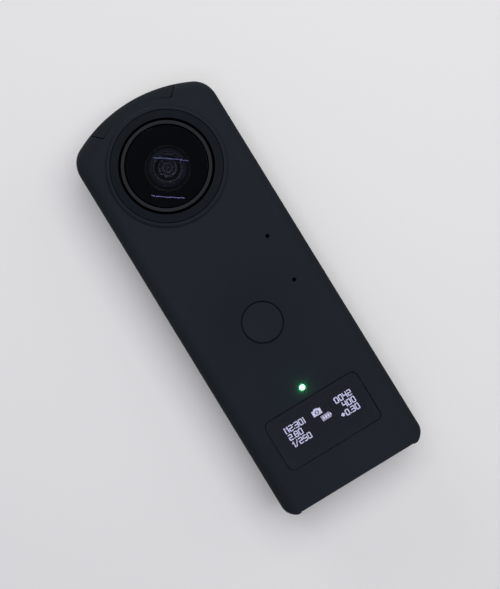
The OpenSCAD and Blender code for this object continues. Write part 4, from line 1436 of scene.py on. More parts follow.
    def build(self) -> None:
        """Make the shells and the cap and dress them."""
        for side, extra in ((Side.FRONT, self.front_tools()), (Side.REAR, self.rear_tools())):
            shell = self.form.half(f"{side.word}_casing", side)
            carve(shell, [*self.shared_tools(side), *extra])
            dress(shell, PAINT, f"{side.word}_shell")
        cap = self.form.whole("top_cap", 0)
        hollow = self.form.whole("cap_hollow", self.form.wall)
        carve(cap, [(hollow, Cut.REMOVE), (self.cap_prism("cap_edge", -self.fit_gap), Cut.KEEP)])
        dress(cap, CAP_PLASTIC, "antenna_cap")


# The lenses


@dataclass
class LensUnit:
    """A fisheye lens: dome, retaining ring, bezel and the elements behind them.

    Heights are measured from the mid plane outwards, along the lens axis.
    """

    side: Side
    lens_z: float
    # Dome and the hollow behind it
    dome_r: float = 12.55
    dome_top: float = 14.85
    dome_sphere: float = 43.49
    dome_seat: float = 9.5
    hollow_r: float = 11.0
    hollow_at: float = 2.0
    # Retaining ring and bezel
    ring_r: float = 13.6
    ring_top: float = 13.5
    bezel_in: float = 14.4
    bezel_out: float = 16.82
    bezel_low: float = 10.6
    bezel_top: float = 13.3
    bezel_edge: float = 12.9
    # Barrel and the elements in it
    barrel_low: float = 5.3
    mouth_r: float = 9.37
    mouth_at: float = 8.2
    second_r: float = 6.4
    second_at: float = 6.9
    second_edge: float = 1.0
    second_crown: float = 1.3
    third_r: float = 3.5
    third_at: float = 5.3
    third_edge: float = 0.8
    third_crown: float = 0.6
    gap: float = 0.05
    seat_gap: float = 0.08
    # Lip over the second element, and baffle ridges
    lip_r: float = 5.5
    lip_gap: float = 0.1
    lip_rise: Point = (0.42, 0.6)
    ridge_start: Point = (0.1, 0.65)
    ridge_pitch: float = 0.62
    ridge_h: float = 0.35
    ridge_face: float = 0.05
    ridge_floor: float = 0.6
    ridge_step: float = 0.12
    # Eased edges and facets
    edge: float = 0.12
    soft: float = 0.08
    soft_steps: int = 4
    steps: int = 192
    element_steps: int = 128

    @property
    def frame(self) -> Matrix:
        """Frame of the lens axis."""
        return lens_frame(self.side, self.lens_z)

    def name(self, piece: str) -> str:
        """Name of a piece on this side."""
        return f"{self.side.word}_{piece}"

    def dome(self) -> Thing:
        """The outer element: a dome with a deep hollow behind it.

        Returns:
            The dome.
        """
        outer = cap_curve(self.dome_r - self.edge, self.dome_sphere, self.dome_top)
        rim = outer[-1][1] - self.edge
        mouth = math.sqrt(self.hollow_r**2 - (self.dome_seat - self.hollow_at) ** 2)
        hollow = cap_curve(mouth, self.hollow_r, self.hollow_at + self.hollow_r)
        side = [(self.dome_r, rim), (self.dome_r, self.dome_seat)]
        profile = [*outer, *side, *reversed(hollow)]
        coats = [0] * (len(outer) - 1) + [2] * (len(side) + 1) + [1] * (len(hollow) - 1)
        return lathe(self.name("outer_glass"), profile, self.frame, self.steps, coats)

    def element(self, piece: str, radius: float, low: float, edge: float, crown: float) -> Thing:
        """A plano-convex element.

        Args:
            piece: Name of the piece.
            radius: Its radius.
            low: Height of its flat face.
            edge: Height of its cylindrical edge.
            crown: Rise of its convex face.

        Returns:
            The element.
        """
        top = cap_curve(radius, sphere_of(radius, crown), low + edge + crown)
        profile = [(0, low), (radius, low), *reversed(top)]
        return lathe(self.name(piece), profile, self.frame, self.element_steps)

    def retaining_ring(self) -> Thing:
        """The ring that holds the dome, with eased edges.

        Returns:
            The ring.
        """
        inner = self.dome_r + self.gap
        soft = self.soft
        profile = [(inner, self.dome_seat), (inner, self.ring_top - soft)]
        for x, start in ((inner + soft, 90), (self.ring_r - soft, 0)):
            profile += reversed(arc((x, self.ring_top - soft), soft, start, start + 90, self.soft_steps))
        profile += [(self.ring_r, self.dome_seat)]
        # Its outer wall, facing the groove, and its foot take the black ink: on the wall it is painted
        # shade of the groove
        coats = [0] * (len(profile) - 2) + [1, 1]
        return lathe(self.name("retaining_ring"), profile, self.frame, self.steps, coats)

    def bezel(self) -> Thing:
        """The sloping ring between the groove and the rim.

        Returns:
            The bezel.
        """
        low_in = (self.bezel_in, self.bezel_low)
        top_in = (self.bezel_in, self.bezel_top)
        top_out = (self.bezel_out, self.bezel_edge)
        low_out = (self.bezel_out, self.bezel_low)
        inner = rounded_corner(low_in, top_in, top_out, self.soft)
        outer = rounded_corner(top_in, top_out, low_out, self.soft)
        profile = [low_in, *inner, *outer, low_out]
        # Its inner wall, facing the groove, and its foot take the black ink: on the wall it is painted
        # shade of the groove
        coats = [1] + [0] * (len(profile) - 2) + [1]
        return lathe(self.name("bezel"), profile, self.frame, self.steps, coats)

    def barrel(self) -> Thing:
        """The black barrel, with baffle ridges and a lip over the second element.

        Returns:
            The barrel.
        """
        second_bore = self.second_r + self.gap
        third_bore = self.third_r + self.gap
        foot = self.second_at + self.second_edge + self.lip_gap
        floor = self.second_at - self.gap
        seat = self.dome_seat - self.seat_gap
        profile = [(third_bore, self.barrel_low), (third_bore, floor), (second_bore, floor)]
        profile += [(second_bore, foot), *((self.lip_r, foot + rise) for rise in self.lip_rise)]
        radius = second_bore + self.ridge_start[0]
        height = foot + self.ridge_start[1]
        profile.append((radius, height))
        while radius + self.ridge_pitch < self.mouth_r:
            low = height - self.ridge_h
            profile.append((radius + self.ridge_face, low))
            profile.append((radius + self.ridge_pitch * self.ridge_floor, low))
            radius += self.ridge_pitch
            height += self.ridge_step
            profile.append((radius, height))
        profile += [(self.mouth_r, self.mouth_at), (self.mouth_r, seat)]
        profile += [(self.ring_r, seat), (self.ring_r, self.barrel_low)]
        return lathe(self.name("barrel"), profile, self.frame)

    def build(self) -> None:
        """Make the lens and dress it."""
        axis = Vector((0, 0, self.lens_z))
        dress(self.dome(), DOME_GLASS, self.name("lens_dome"), others=(HOLLOW_GLASS, EDGE_INK_AND_GROOVE_SHADE))
        dress(self.retaining_ring(), RING_METAL.about(axis), self.name("lens_ring"), others=(EDGE_INK_AND_GROOVE_SHADE,))
        dress(self.bezel(), BEZEL_BLACK.about(axis), self.name("lens_bezel"), others=(EDGE_INK_AND_GROOVE_SHADE,))
        # The barrel's ring colours carry painted reflections
        dress(self.barrel(), BARREL_RINGS_AND_REFLECTIONS.about(axis), self.name("lens_barrel"))
        second = (self.second_r, self.second_at, self.second_edge, self.second_crown)
        dress(self.element("second_glass", *second), INNER_GLASS, self.name("second_lens"))
        # The third element's ring colours are partly painted reflections
        third = (self.third_r, self.third_at, self.third_edge, self.third_crown)
        dress(self.element("third_glass", *third), PUPIL_RINGS_AND_REFLECTIONS.about(axis), self.name("third_lens"))


# Buttons, display and lamp


@dataclass
class Controls:
    """The shutter button and the row of side keys.

    Backs are measured from the camera's middle outwards, along each button's travel.
    """

    half_w: float
    half_d: float
    # Shutter button
    button_back: float = 10.5
    flange_r: float = 7.2
    flange_back: float = 9.8
    stem_r: float = 1.5
    stem_back: float = 7.4
    stem_edge: float = 0.3
    soft: float = 0.35
    soft_steps: int = 8
    dish: float = 0.18
    dish_steps: int = 24
    # Side keys
    key_back: float = 22.55
    key_flange: Point = (8.2, 5.0)
    key_flange_back: float = 21.95
    key_join: float = 0.01
    key_soft: float = 0.3
    key_soft_steps: int = 6
    key_crown: float = 0.12
    key_crown_half: float = 0.1
    key_crown_steps: int = 4

    def shutter(self) -> Thing:
        """The round button: slightly dished, on a flange and a stem.

        Returns:
            The button.
        """
        top = self.half_d
        flat = SHUTTER_R - self.soft
        dish = cap_curve(flat, sphere_of(flat, -self.dish), top - self.dish, self.dish_steps)
        edge = list(reversed(arc((flat, top - self.soft), self.soft, 0, 90, self.soft_steps)))[1:]
        profile = [*dish, *edge, (SHUTTER_R, self.button_back), (self.flange_r, self.button_back)]
        profile += [(self.flange_r, self.flange_back), (self.stem_r, self.flange_back)]
        profile.append((self.stem_r, self.stem_back + self.stem_edge))
        profile += [(self.stem_r - self.stem_edge, self.stem_back), (0, self.stem_back)]
        return lathe("shutter_disc", profile, NodeBox.of("shutter_button").on_front)

    def key(self, word: str) -> Thing:
        """One pill-shaped side key on its flange.

        Args:
            word: The key's word in its node's name.

        Returns:
            The key.
        """
        frame = key_frame(NodeBox.of(f"{word}_button").centre.z)
        soft = self.key_soft
        half = KEY_SIZE[1] / 2
        top = self.half_w - self.key_crown
        levels = [(self.key_back - self.key_join, 0), (top - soft, 0)]
        for k in range(1, self.key_soft_steps + 1):
            turn = math.pi / 2 * k / self.key_soft_steps
            levels.append((top - soft + soft * math.sin(turn), soft * (1 - math.cos(turn))))
        for k in range(1, self.key_crown_steps + 1):
            share = k / self.key_crown_steps
            inset = soft + (half - soft - self.key_crown_half) * share
            levels.append((top + self.key_crown * (1 - (1 - share) ** 2), inset))
        cap = slab(f"{word}_cap", KEY_SIZE, half, levels, frame)
        seat = [(self.key_flange_back, 0), (self.key_back, 0)]
        flange = slab(f"{word}_flange", self.key_flange, self.key_flange[1] / 2, seat, frame)
        return carve(cap, [(flange, Cut.JOIN)])

    def build(self) -> None:
        """Make the buttons and dress them, each on its own body."""
        dress(self.shutter(), KEY_PAINT, "shutter_button", body="shutter")
        for word in KEYS:
            key = self.key(word)
            key.name = f"{word}_keycap"
            dress(key, KEY_PAINT, f"{word}_button", body=f"{word}_key")


@dataclass
class Display:
    """The small display: a smoked window over a panel with lit dots.

    Rows and signs are drawn on a grid of dots. Each row has numbers at its left and at its right end.
    """

    repeater: Repeater
    # Dots, and where rows and signs stand
    pitch: float = 0.163
    fill: float = 0.94
    left: float = -11.3
    right: float = 11.7
    middle: float = -0.2
    gauge_x: float = 1.7
    line_z: float = 20.6
    line_pitch: float = 2.34
    # What is drawn, in dots
    glyph_h: int = 12
    glyph_w: int = 8
    stroke: int = 2
    eased: str = "023568"
    rows: tuple[Row, ...] = (("[12:30]", "0042"), ("2.80", "400"), ("1/250", "+0.30"))
    box_sign: tuple[Bar, Bar] = ((0, 0, 18, 11), (5, 11, 13, 13))
    box_lens: Point = (2.4, 3.8)
    gauge_sign: tuple[Bar, ...] = (
        (0, 0, 18, 1), (0, 9, 18, 10), (0, 0, 1, 10), (17, 0, 18, 10), (18, 3, 20, 7),
        (2, 2, 6, 8), (7, 2, 11, 8), (12, 2, 16, 8),
    )
    # Height of the dots, and the window over them
    dot_h: float = 0.04
    rear_gap: float = 0.12
    soft: float = 0.14

    def bars(self, character: str) -> tuple[int, list[Bar]]:
        """The bars that draw one numeral or sign.

        Args:
            character: What is drawn.

        Returns:
            Its width in dots, and bars of left, low, right and high in dots.
        """
        w, h, t = self.glyph_w, self.glyph_h, self.stroke
        mid = (h - t) // 2
        segments = {
            "a": (0, h - t, w, h),
            "b": (w - t, mid, w, h),
            "c": (w - t, 0, w, mid + t),
            "d": (0, 0, w, t),
            "e": (0, 0, t, mid + t),
            "f": (0, mid, t, h),
            "g": (0, mid, w, mid + t),
        }
        numerals = {
            "0": "abcdef", "2": "abged", "3": "abgcd", "4": "fgbc",
            "5": "afgcd", "6": "afgedc", "7": "abc", "8": "abcdefg", "9": "abcdfg",
        }
        signs = {
            "1": (t + 2, [(2, 0, t + 2, h), (0, h - 2 - t, 2, h - 2)]),
            ".": (t, [(0, 0, t, t)]),
            ":": (t, [(0, 1, t, 1 + t), (0, h - 1 - t, t, h - 1)]),
            "[": (t + 1, [(0, 0, t, h), (0, 0, t + 1, 1), (0, h - 1, t + 1, h)]),
            "]": (t + 1, [(1, 0, t + 1, h), (0, 0, t + 1, 1), (0, h - 1, t + 1, h)]),
            "+": (w, [(0, mid, w, mid + t), (t, mid - t, w - t, mid + 2 * t)]),
            "/": (w - 1, [(k // 2, k, k // 2 + t, k + 1) for k in range(h)]),
        }
        if character in signs:
            return signs[character]
        return w, [segments[mark] for mark in numerals[character]]

    def cells(self, bars: Sequence[Bar]) -> Dots:
        """Dots that bars of left, low, right and high light."""
        return {(x, y) for x0, y0, x1, y1 in bars for x in range(x0, x1) for y in range(y0, y1)}

    def pictogram(self) -> Dots:
        """A plain box camera seen from the front, with a dark ring for its lens.

        Returns:
            Its dots.
        """
        _, _, wide, high = self.box_sign[0]
        near, far = self.box_lens
        middle = Vector((wide - 1, high - 1)) / 2
        lit = self.cells(self.box_sign)
        return {(x, y) for x, y in lit if not near < math.hypot(x - middle.x, y - middle.y) < far}

    def line(self, words: str) -> tuple[int, Dots]:
        """Dots of a row of numerals and signs.

        Args:
            words: What the row says.

        Returns:
            The row's width and its dots.
        """
        lit: Dots = set()
        pen = 0
        for character in words:
            width, bars = self.bars(character)
            dots = self.cells(bars)
            if character in self.eased:
                dots -= {(x, y) for x in (0, width - 1) for y in (0, self.glyph_h - 1)}
            lit |= {(x + pen, y) for x, y in dots}
            pen += width + 1
        return pen - 1, lit

    def lay(self, lit: Dots, left: float, z: float, front: float) -> list[Vector]:
        """Lay the dots of a row or a sign on the panel.

        Args:
            lit: The dots.
            left: Place of their left edge.
            z: Height of the row's middle.
            front: Place of the panel's face.

        Returns:
            The centres of the dots.
        """
        low = z - self.glyph_h * self.pitch / 2
        spots = []
        for x, y in sorted(lit):
            spots.append(Vector((left + (x + 0.5) * self.pitch, front, low + (y + 0.5) * self.pitch)))
        return spots

    def dots(self, front: float) -> list[Vector]:
        """Places of all lit dots.

        Args:
            front: Place of the panel's face.

        Returns:
            The centres of the dots.
        """
        top = self.line_z + self.line_pitch
        spots = []
        for k, (first, last) in enumerate(self.rows):
            z = top - k * self.line_pitch
            width, lit = self.line(last)
            spots += self.lay(self.line(first)[1], self.left, z, front)
            spots += self.lay(lit, self.right - width * self.pitch, z, front)
        box = (self.pictogram(), self.middle, top)
        gauge = (self.cells(self.gauge_sign), self.gauge_x, self.line_z)
        for lit, centre, z in (box, gauge):
            width = 1 + max(x for x, _ in lit)
            spots += self.lay(lit, centre - width * self.pitch / 2, z, front)
        return spots

    def build(self) -> None:
        """Make the window and the dots, and dress them."""
        box = NodeBox.of("display_window")
        levels = [(-box.high.y + self.rear_gap, 0), (-box.low.y - self.soft, 0), (-box.low.y, self.soft)]
        window = slab("smoked_window", (box.size.x, box.size.z), WINDOW_CORNER, levels, box.on_front)
        dress(window, WINDOW, "display_window")
        panel = NodeBox.of("display_panel")
        glow = DOT_GLOW.about(panel.centre)
        side = self.pitch * self.fill * MM
        places = self.dots(panel.low.y - self.dot_h / 2)
        size = {"Size": (side, self.dot_h * MM, side)}
        dress(self.repeater.scatter("display_dots", places, Repeat.BOX, size, glow.build()), glow)


@dataclass
class StatusLamp:
    """The green lamp over the display: a light guide with a domed tip."""

    collar_r: float = 1.6
    collar: Point = (10.0, 10.55)
    back: float = 5.55
    crown: float = 0.25
    crown_steps: int = 8
    steps: int = 48
    halo_watts: float = 0.0011
    halo_colour: Colour = (0.05, 1.0, 0.25)
    halo_r: float = 0.3
    halo_out: float = 0.5

    def build(self) -> None:
        """Make the lamp, dress it and let it light the face round it."""
        box = NodeBox.of("status_lamp")
        front = -box.low.y
        tip = cap_curve(LAMP_R, sphere_of(LAMP_R, self.crown), front, self.crown_steps)
        low, high = self.collar
        profile = [*tip, (LAMP_R, high), (self.collar_r, high), (self.collar_r, low), (LAMP_R, low)]
        profile += [(LAMP_R, self.back), (0, self.back)]
        guide = lathe("status_light", profile, box.on_front, self.steps)
        dress(guide, LAMP_GLOW.about(box.centre), "status_lamp")
        light = bpy.data.lights.new("status_halo", "POINT")
        light.energy = self.halo_watts
        light.color = self.halo_colour
        light.shadow_soft_size = self.halo_r * MM
        halo = bpy.data.objects.new("status_halo", light)
        halo.location = (box.centre.x * MM, (box.low.y - self.halo_out) * MM, box.centre.z * MM)
        halo.visible_camera = False
        halo.visible_glossy = False
        bpy.context.scene.collection.objects.link(halo)


# The base


@dataclass
class Base:
    """The base plate with its bush, port, strap bar and screws."""

    repeater: Repeater
    # Plate
    plate_h: float = 3.0
    lip: float = 0.5
    lip_at: float = 1.45
    soft: float = 0.15
    steps: int = 96
    small_steps: int = 48
    # Tripod bush and its thread
    bush_gap: float = 0.05
    bush_edge: float = 0.3
    bore_r: float = 2.55
    bore_h: float = 5.5
    thread_pitch: float = 1.27
    thread_h: float = 0.35
    thread_flank: Point = (2.6, 0.8)
    thread_low: float = 0.3
    thread_start: float = 0.2
    thread_fade: float = 0.6
    thread_levels: int = 88
    # Pocket of the strap bar
    strap_room: Point = (6.0, 7.0)
    strap_room_corner: float = 0.4
    strap_wall: float = 1.0
    strap_wall_corner: float = 0.3
    strap_wall_at: float = 0.5
    strap_gap: float = 0.05
    # Screws
    head_r: float = 1.3
    head_h: float = 0.8
    head_back: float = 0.3
    head_edge: float = 0.18
    shank_r: float = 0.7
    shank_tip: Point = (0.3, 0.4)
    slot: Point = (1.5, 0.36)
    slot_corner: float = 0.15
    slot_deep: float = 0.5
    slot_taper: float = 0.12
    # Port, its tongue and its contacts
    port_corner: float = 1.2
    port_sheet: float = 0.3
    port_edge: float = 0.1
    port_gap: float = 0.1
    tongue_corner: float = 0.2
    tongue_tip: Point = (0.12, 0.25)
    contact: Triple = (0.26, 0.08, 3.0)
    contact_at: float = 0.5
    contact_pitch: float = 0.5
    contact_count: int = 12

    def plate(self) -> Thing:
        """The plate, cut for all that it carries.

        Returns:
            The plate.
        """
        soft, high = self.soft, self.plate_h
        bar = NodeBox.of("strap_bar")
        bush = NodeBox.of("tripod_bush")
        port = NodeBox.of("usb_socket")
        top = NodeBox.of("base_plate").high.z
        at_bar = Matrix.Translation((bar.centre.x, 0, 0))
        room, wall = self.strap_room, self.strap_wall
        walls = grown(room, wall)
        bar_r = bar.size.x / 2 + self.strap_gap
        reach = (room[1] + wall) / 2
        rod = [(0, -reach), (bar_r, -reach), (bar_r, reach), (0, reach)]
        turned = Matrix.Translation(bar.centre) @ Matrix.Rotation(math.pi / 2, 4, "X")
        mouth = grown((port.size.x, port.size.y), self.port_gap)
        corner = self.port_corner + self.port_gap
        blank = slab("base_cover", PLATE_SIZE, PLATE_CORNER, [(0, soft), (soft, 0), (high, 0)], Matrix())
        lip = [(self.lip_at, 0), (high, 0)]
        added = (
            slab("plate_lip", grown(PLATE_SIZE, self.lip), PLATE_CORNER, lip, Matrix()),
            slab("strap_house", walls, self.strap_wall_corner, [(self.strap_wall_at, 0), (top, 0)], at_bar),
        )
        cutters = (
            slab("strap_pocket", room, self.strap_room_corner, self.mouth_levels(top - wall), at_bar),
            lathe("bar_hole", rod, turned, self.small_steps),
            self.bore("bush_hole", bush.size.x / 2 + self.bush_gap),
            slab("port_hole", mouth, corner, self.mouth_levels(high + OVER), port.on_base),
            *(self.screw_hole(spot) for spot in self.screw_places()),
        )
        return carve(blank, [(t, Cut.JOIN) for t in added] + [(t, Cut.REMOVE) for t in cutters])

    def mouth_levels(self, high: float) -> list[Point]:
        """Heights and insets of a straight cutter with a chamfered mouth."""
        return [(-OVER, -self.soft), (0, -self.soft), (self.soft, 0), (high, 0)]

    def bore(self, name: str, radius: float) -> Thing:
        """A round cutter through the plate's middle with a chamfered mouth.

        Args:
            name: Name of the cutter.
            radius: Radius of the bore.

        Returns:
            The cutter.
        """
        wide = radius + self.soft
        high = self.plate_h + OVER
        profile = [(0, -OVER), (wide, -OVER), (wide, 0), (radius, self.soft), (radius, high), (0, high)]
        return lathe(name, profile, Matrix(), self.steps)

    def screw_places(self) -> list[Vector]:
        """Where the base screws stand: the lowest points of their axes."""
        box = NodeBox.of("base_screws")
        return [Vector((x, 0, self.head_back)) for x in (box.low.x + self.head_r, box.high.x - self.head_r)]

    def screw_hole(self, spot: Vector) -> Thing:
        """A counterbored hole for one screw.

        Args:
            spot: Lowest point of the screw's axis.

        Returns:
            The cutter.
        """
        head = self.head_r + self.strap_gap
        wide = head + self.soft
        shank = self.shank_r + self.strap_gap
        floor = self.head_back + self.head_h
        high = self.plate_h + OVER
        profile = [(0, -OVER), (wide, -OVER), (wide, 0), (head, self.soft), (head, floor)]
        profile += [(shank, floor), (shank, high), (0, high)]
        return lathe("screw_hole", profile, Matrix.Translation((spot.x, spot.y, 0)), self.small_steps)

    def thread(self, z: float, angle: float) -> float:
        """Radius of the threaded bore.

        Args:
            z: Height in the bore.
            angle: Angle round it.

        Returns:
            The radius.
        """
        steep, flat = self.thread_flank
        phase = (z / self.thread_pitch - angle / (2 * math.pi)) % 1
        depth = min(1.0, max(0.0, steep * abs(2 * phase - 1) - flat))
        into = max(0.0, (z - self.thread_start) / self.thread_fade)
        fade = min(1.0, (self.bore_h - z) / self.thread_fade, into)
        return self.bore_r + self.thread_h * depth * fade

    def bush(self) -> Thing:
        """The tripod bush, with a thread cut in its blind bore.

        Returns:
            The bush.
        """
        box = NodeBox.of("tripod_bush")
        outer, top, edge = box.size.x / 2, box.high.z, self.bush_edge
        heights = []
        for k in range(self.thread_levels + 1):
            share = k / self.thread_levels
            heights.append(self.bore_h * (1 - share) + self.thread_low * share)
        outside = [(self.bore_r + self.thread_h, 0), (outer - self.soft, 0), (outer, self.soft)]
        outside += [(outer, top - edge), (outer - edge, top), (0, top)]

        def profile(angle: float) -> list[Point]:
            """The bush's section at one angle: its bore, then its outside."""
            return [(0, self.bore_h), *((self.thread(z, angle), z) for z in heights), *outside]

        return lathe("tripod_thread", profile, Matrix(), self.steps)

    def screw(self) -> Thing:
        """One screw at the origin, head down, with a cross recess.

        Returns:
            The screw.
        """
        length = NodeBox.of("base_screws").size.z
        soft, (point, taper) = self.head_edge, self.shank_tip
        profile = [(0, 0), (self.head_r - soft, 0), (self.head_r, soft), (self.head_r, self.head_h)]
        profile += [(self.shank_r, self.head_h), (self.shank_r, length - taper)]
        profile += [(self.shank_r - point, length), (0, length)]
        blank = lathe("base_screw", profile, Matrix(), self.small_steps)
        levels = [(-OVER, 0), (0, 0), (self.slot_deep, self.slot_taper)]
        slots = []
        for turn in (0, math.pi / 2):
            tool = slab("drive_slot", self.slot, self.slot_corner, levels, Matrix.Rotation(turn, 4, "Z"))
            slots.append((tool, Cut.REMOVE))
        return carve(blank, slots)

    def port(self) -> Thing:
        """The port's folded sheet shell.

        Returns:
            The shell.
        """
        box = NodeBox.of("usb_socket")
        low, high = box.low.z, box.high.z
        size, corner = (box.size.x, box.size.y), self.port_corner
        soft, sheet = self.port_edge, self.port_sheet
        mouth = sheet - soft
        shell = slab("port_shell", size, corner, [(low, soft), (low + soft, 0), (high, 0)], box.on_base)
        levels = [(low - OVER, mouth), (low, mouth), (low + soft, sheet), (high - sheet, sheet)]
        return carve(shell, [(slab("port_room", size, corner, levels, box.on_base), Cut.REMOVE)])

    def tongue(self) -> Thing:
        """The port's tongue, thinner at its tip.

        Returns:
            The tongue.
        """
        box = NodeBox.of("usb_tongue")
        thin, long = self.tongue_tip
        levels = [(box.low.z, thin), (box.low.z + long, 0), (box.high.z, 0)]
        return slab("port_tongue", (box.size.x, box.size.y), self.tongue_corner, levels, box.on_base)

    def contacts(self) -> Thing:
        """The tongue's gold contacts on both faces.

        Returns:
            The contacts.
        """
        box = NodeBox.of("usb_tongue")
        z = box.low.z + self.contact_at + self.contact[2] / 2
        places = []
        for y in (box.low.y, box.high.y):
            for k in range(self.contact_count):
                x = box.centre.x + (k - (self.contact_count - 1) / 2) * self.contact_pitch
                places.append(Vector((x, y, z)))
        size = {"Size": tuple(s * MM for s in self.contact)}
        return self.repeater.scatter("port_contacts", places, Repeat.BOX, size, GOLD.build())

    def build(self) -> None:
        """Make the base's pieces and dress them."""
        dress(self.plate(), BASE_PLASTIC, "base_plate")
        dress(self.bush(), STEEL, "tripod_bush")
        model = self.screw()
        places, values = self.screw_places(), {"Model": model}
        screws = self.repeater.scatter("base_fixings", places, Repeat.MODEL, values, STEEL.build())
        bpy.data.objects.remove(model)
        dress(screws, STEEL, "base_screws")
        dress(self.port(), STEEL, "usb_socket")
        dress(self.tongue(), BLACK_PLASTIC, "usb_tongue")
        dress(self.contacts(), GOLD)


# The inside


@dataclass
class Inside:
    """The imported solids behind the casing, which keep their shape and get a finish."""

    lens_z: float

    def groups(self) -> list[tuple[Finish, list[str]]]:
        """Which finish each node gets.

        Returns:
            Pairs of a finish and its nodes.
        """
        both = [side.word for side in Side]
        axis = Vector((0, 0, self.lens_z))
        return [
            (RUBBER_AND_GROOVE_SHADE, [f"{s}_lens_gasket" for s in both] + ["battery_pad"]),
            (INNER_GLASS, [f"{s}_{p}_prism" for s in both for p in ("entry", "fold")]),
            (LENS_BLACK.about(axis), [f"{s}_{p}_tube" for s in both for p in ("relay", "exit")]),
            (SENSOR, [f"{s}_image_sensor" for s in both]),
            (BLADE, [f"{s}_iris" for s in both]),
            (FRAME_METAL, ["mid_frame"]),
            (BLACK_PLASTIC, ["iris_motors", "speaker", "board_chips", "shutter_switch", "side_switches"]),
            (MESH_AND_RECESS_SHADE, ["microphones", "microphone_gaskets", "lens_block"]),
            (STEEL, ["strap_bar", "board_screws", "shield_can"]),
            (CIRCUIT, ["main_board", "sensor_boards", "side_key_board"]),
            (COPPER, ["antenna"]),
            (CELL, ["battery"]),
            (PANEL, ["display_panel"]),
        ]

    def build(self, nodes: dict[str, Thing]) -> None:
        """Dress the nodes.

        Args:
            nodes: The frame's objects by name.
        """
        for finish, names in self.groups():
            for name in names:
                nodes[name].data.materials.clear()
                nodes[name].data.materials.append(finish.build())
                LOG.info("%s keeps its solid, in %s", name, finish.name)


# Studio and camera


@dataclass
class Lamp:
    """A soft rectangular lamp that looks at a point."""

    name: str
    place: Vector
    aim: Vector
    size: Point
    watts: float
    colour: Colour = (1, 1, 1)
    up: Vector = field(default_factory=lambda: Vector((0, 0, 1)))
    mirrored: bool = True

    def build(self) -> None:
        """Hang the lamp, its first side along the given direction."""
        light = bpy.data.lights.new(self.name, "AREA")
        light.shape = "RECTANGLE"
        light.size, light.size_y = (s * MM for s in self.size)
        light.energy = self.watts
        light.color = self.colour
        thing = bpy.data.objects.new(self.name, light)
        thing.visible_camera = False
        thing.visible_transmission = False
        thing.visible_glossy = self.mirrored
        bpy.context.scene.collection.objects.link(thing)
        back = (self.place - self.aim).normalized()
        side = (self.up - back * self.up.dot(back)).normalized()
        across = back.cross(side)
        turn = Matrix((side, across, back)).transposed().to_4x4()
        thing.matrix_world = Matrix.Translation(self.place * MM) @ turn


AIM = Vector((0, 0, 70))
LAMPS = (
    Lamp("key", Vector((560, -380, 60)), AIM, (420, 420), 0.40),
    Lamp("overhead", Vector((-60, -320, 740)), AIM, (340, 340), 0.64),
    Lamp("front", Vector((130, -680, 170)), AIM, (620, 620), 4.3, mirrored=False),
)


@dataclass(frozen=True)
class Tube:
    """A thin lamp, given by where its image runs on the front dome: across and down from the middle."""

    name: str
    start: Point
    stop: Point
    watts: float
    colour: Colour
    width: float = 8.0


TUBES = (
    Tube("tube_low", (-8.45, 5.3), (-0.25, 11.1), 0.20, (0.64, 0.54, 1.0)),
    Tube("tube_high", (-2.05, -3.95), (6.25, 2.25), 0.15, (0.62, 0.57, 1.0)),
)


@dataclass
class PhotoCamera:
    """The camera at the photograph's viewing angle.

    Angles are in degrees, and px stands for pixels of the photograph.
    """

    distance: float = 300.0
    azimuth: float = 0.48
    elevation: float = -1.132
    roll: float = -31.495
    aim: Vector = field(default_factory=lambda: Vector((-1.75, -12, 75.322)))
    focal_px: float = 1009.6
    image_high_px: int = 589
    shift_px: Point = (30, -30)
    sensor: float = 36.0
    clip_start: float = 0.01

    def axes(self) -> tuple[Vector, Vector, Vector]:
        """Directions of the picture's right, its up and back to the camera.

        Returns:
            The three directions.
        """
        a, e, r = (math.radians(v) for v in (self.azimuth, self.elevation, self.roll))
        back = Vector((math.sin(a) * math.cos(e), -math.cos(a) * math.cos(e), math.sin(e)))
        right = Vector((math.cos(a), math.sin(a), 0))
        up = back.cross(right)
        return math.cos(r) * right + math.sin(r) * up, math.cos(r) * up - math.sin(r) * right, back

    @property
    def place(self) -> Vector:
        """Where the camera stands."""
        return self.aim + self.axes()[2] * self.distance

    def build(self) -> None:
        """Make the camera and hand it to the scene."""
        data = bpy.data.cameras.new("photo_camera")
        data.sensor_width = self.sensor
        data.lens = self.focal_px * self.sensor / self.image_high_px
        data.shift_x, data.shift_y = (s / self.image_high_px for s in self.shift_px)
        data.clip_start = self.clip_start
        thing = bpy.data.objects.new("photo_camera", data)
        bpy.context.scene.collection.objects.link(thing)
        turn = Matrix(self.axes()).transposed().to_4x4()
        thing.matrix_world = Matrix.Translation(self.place * MM) @ turn
        bpy.context.scene.camera = thing


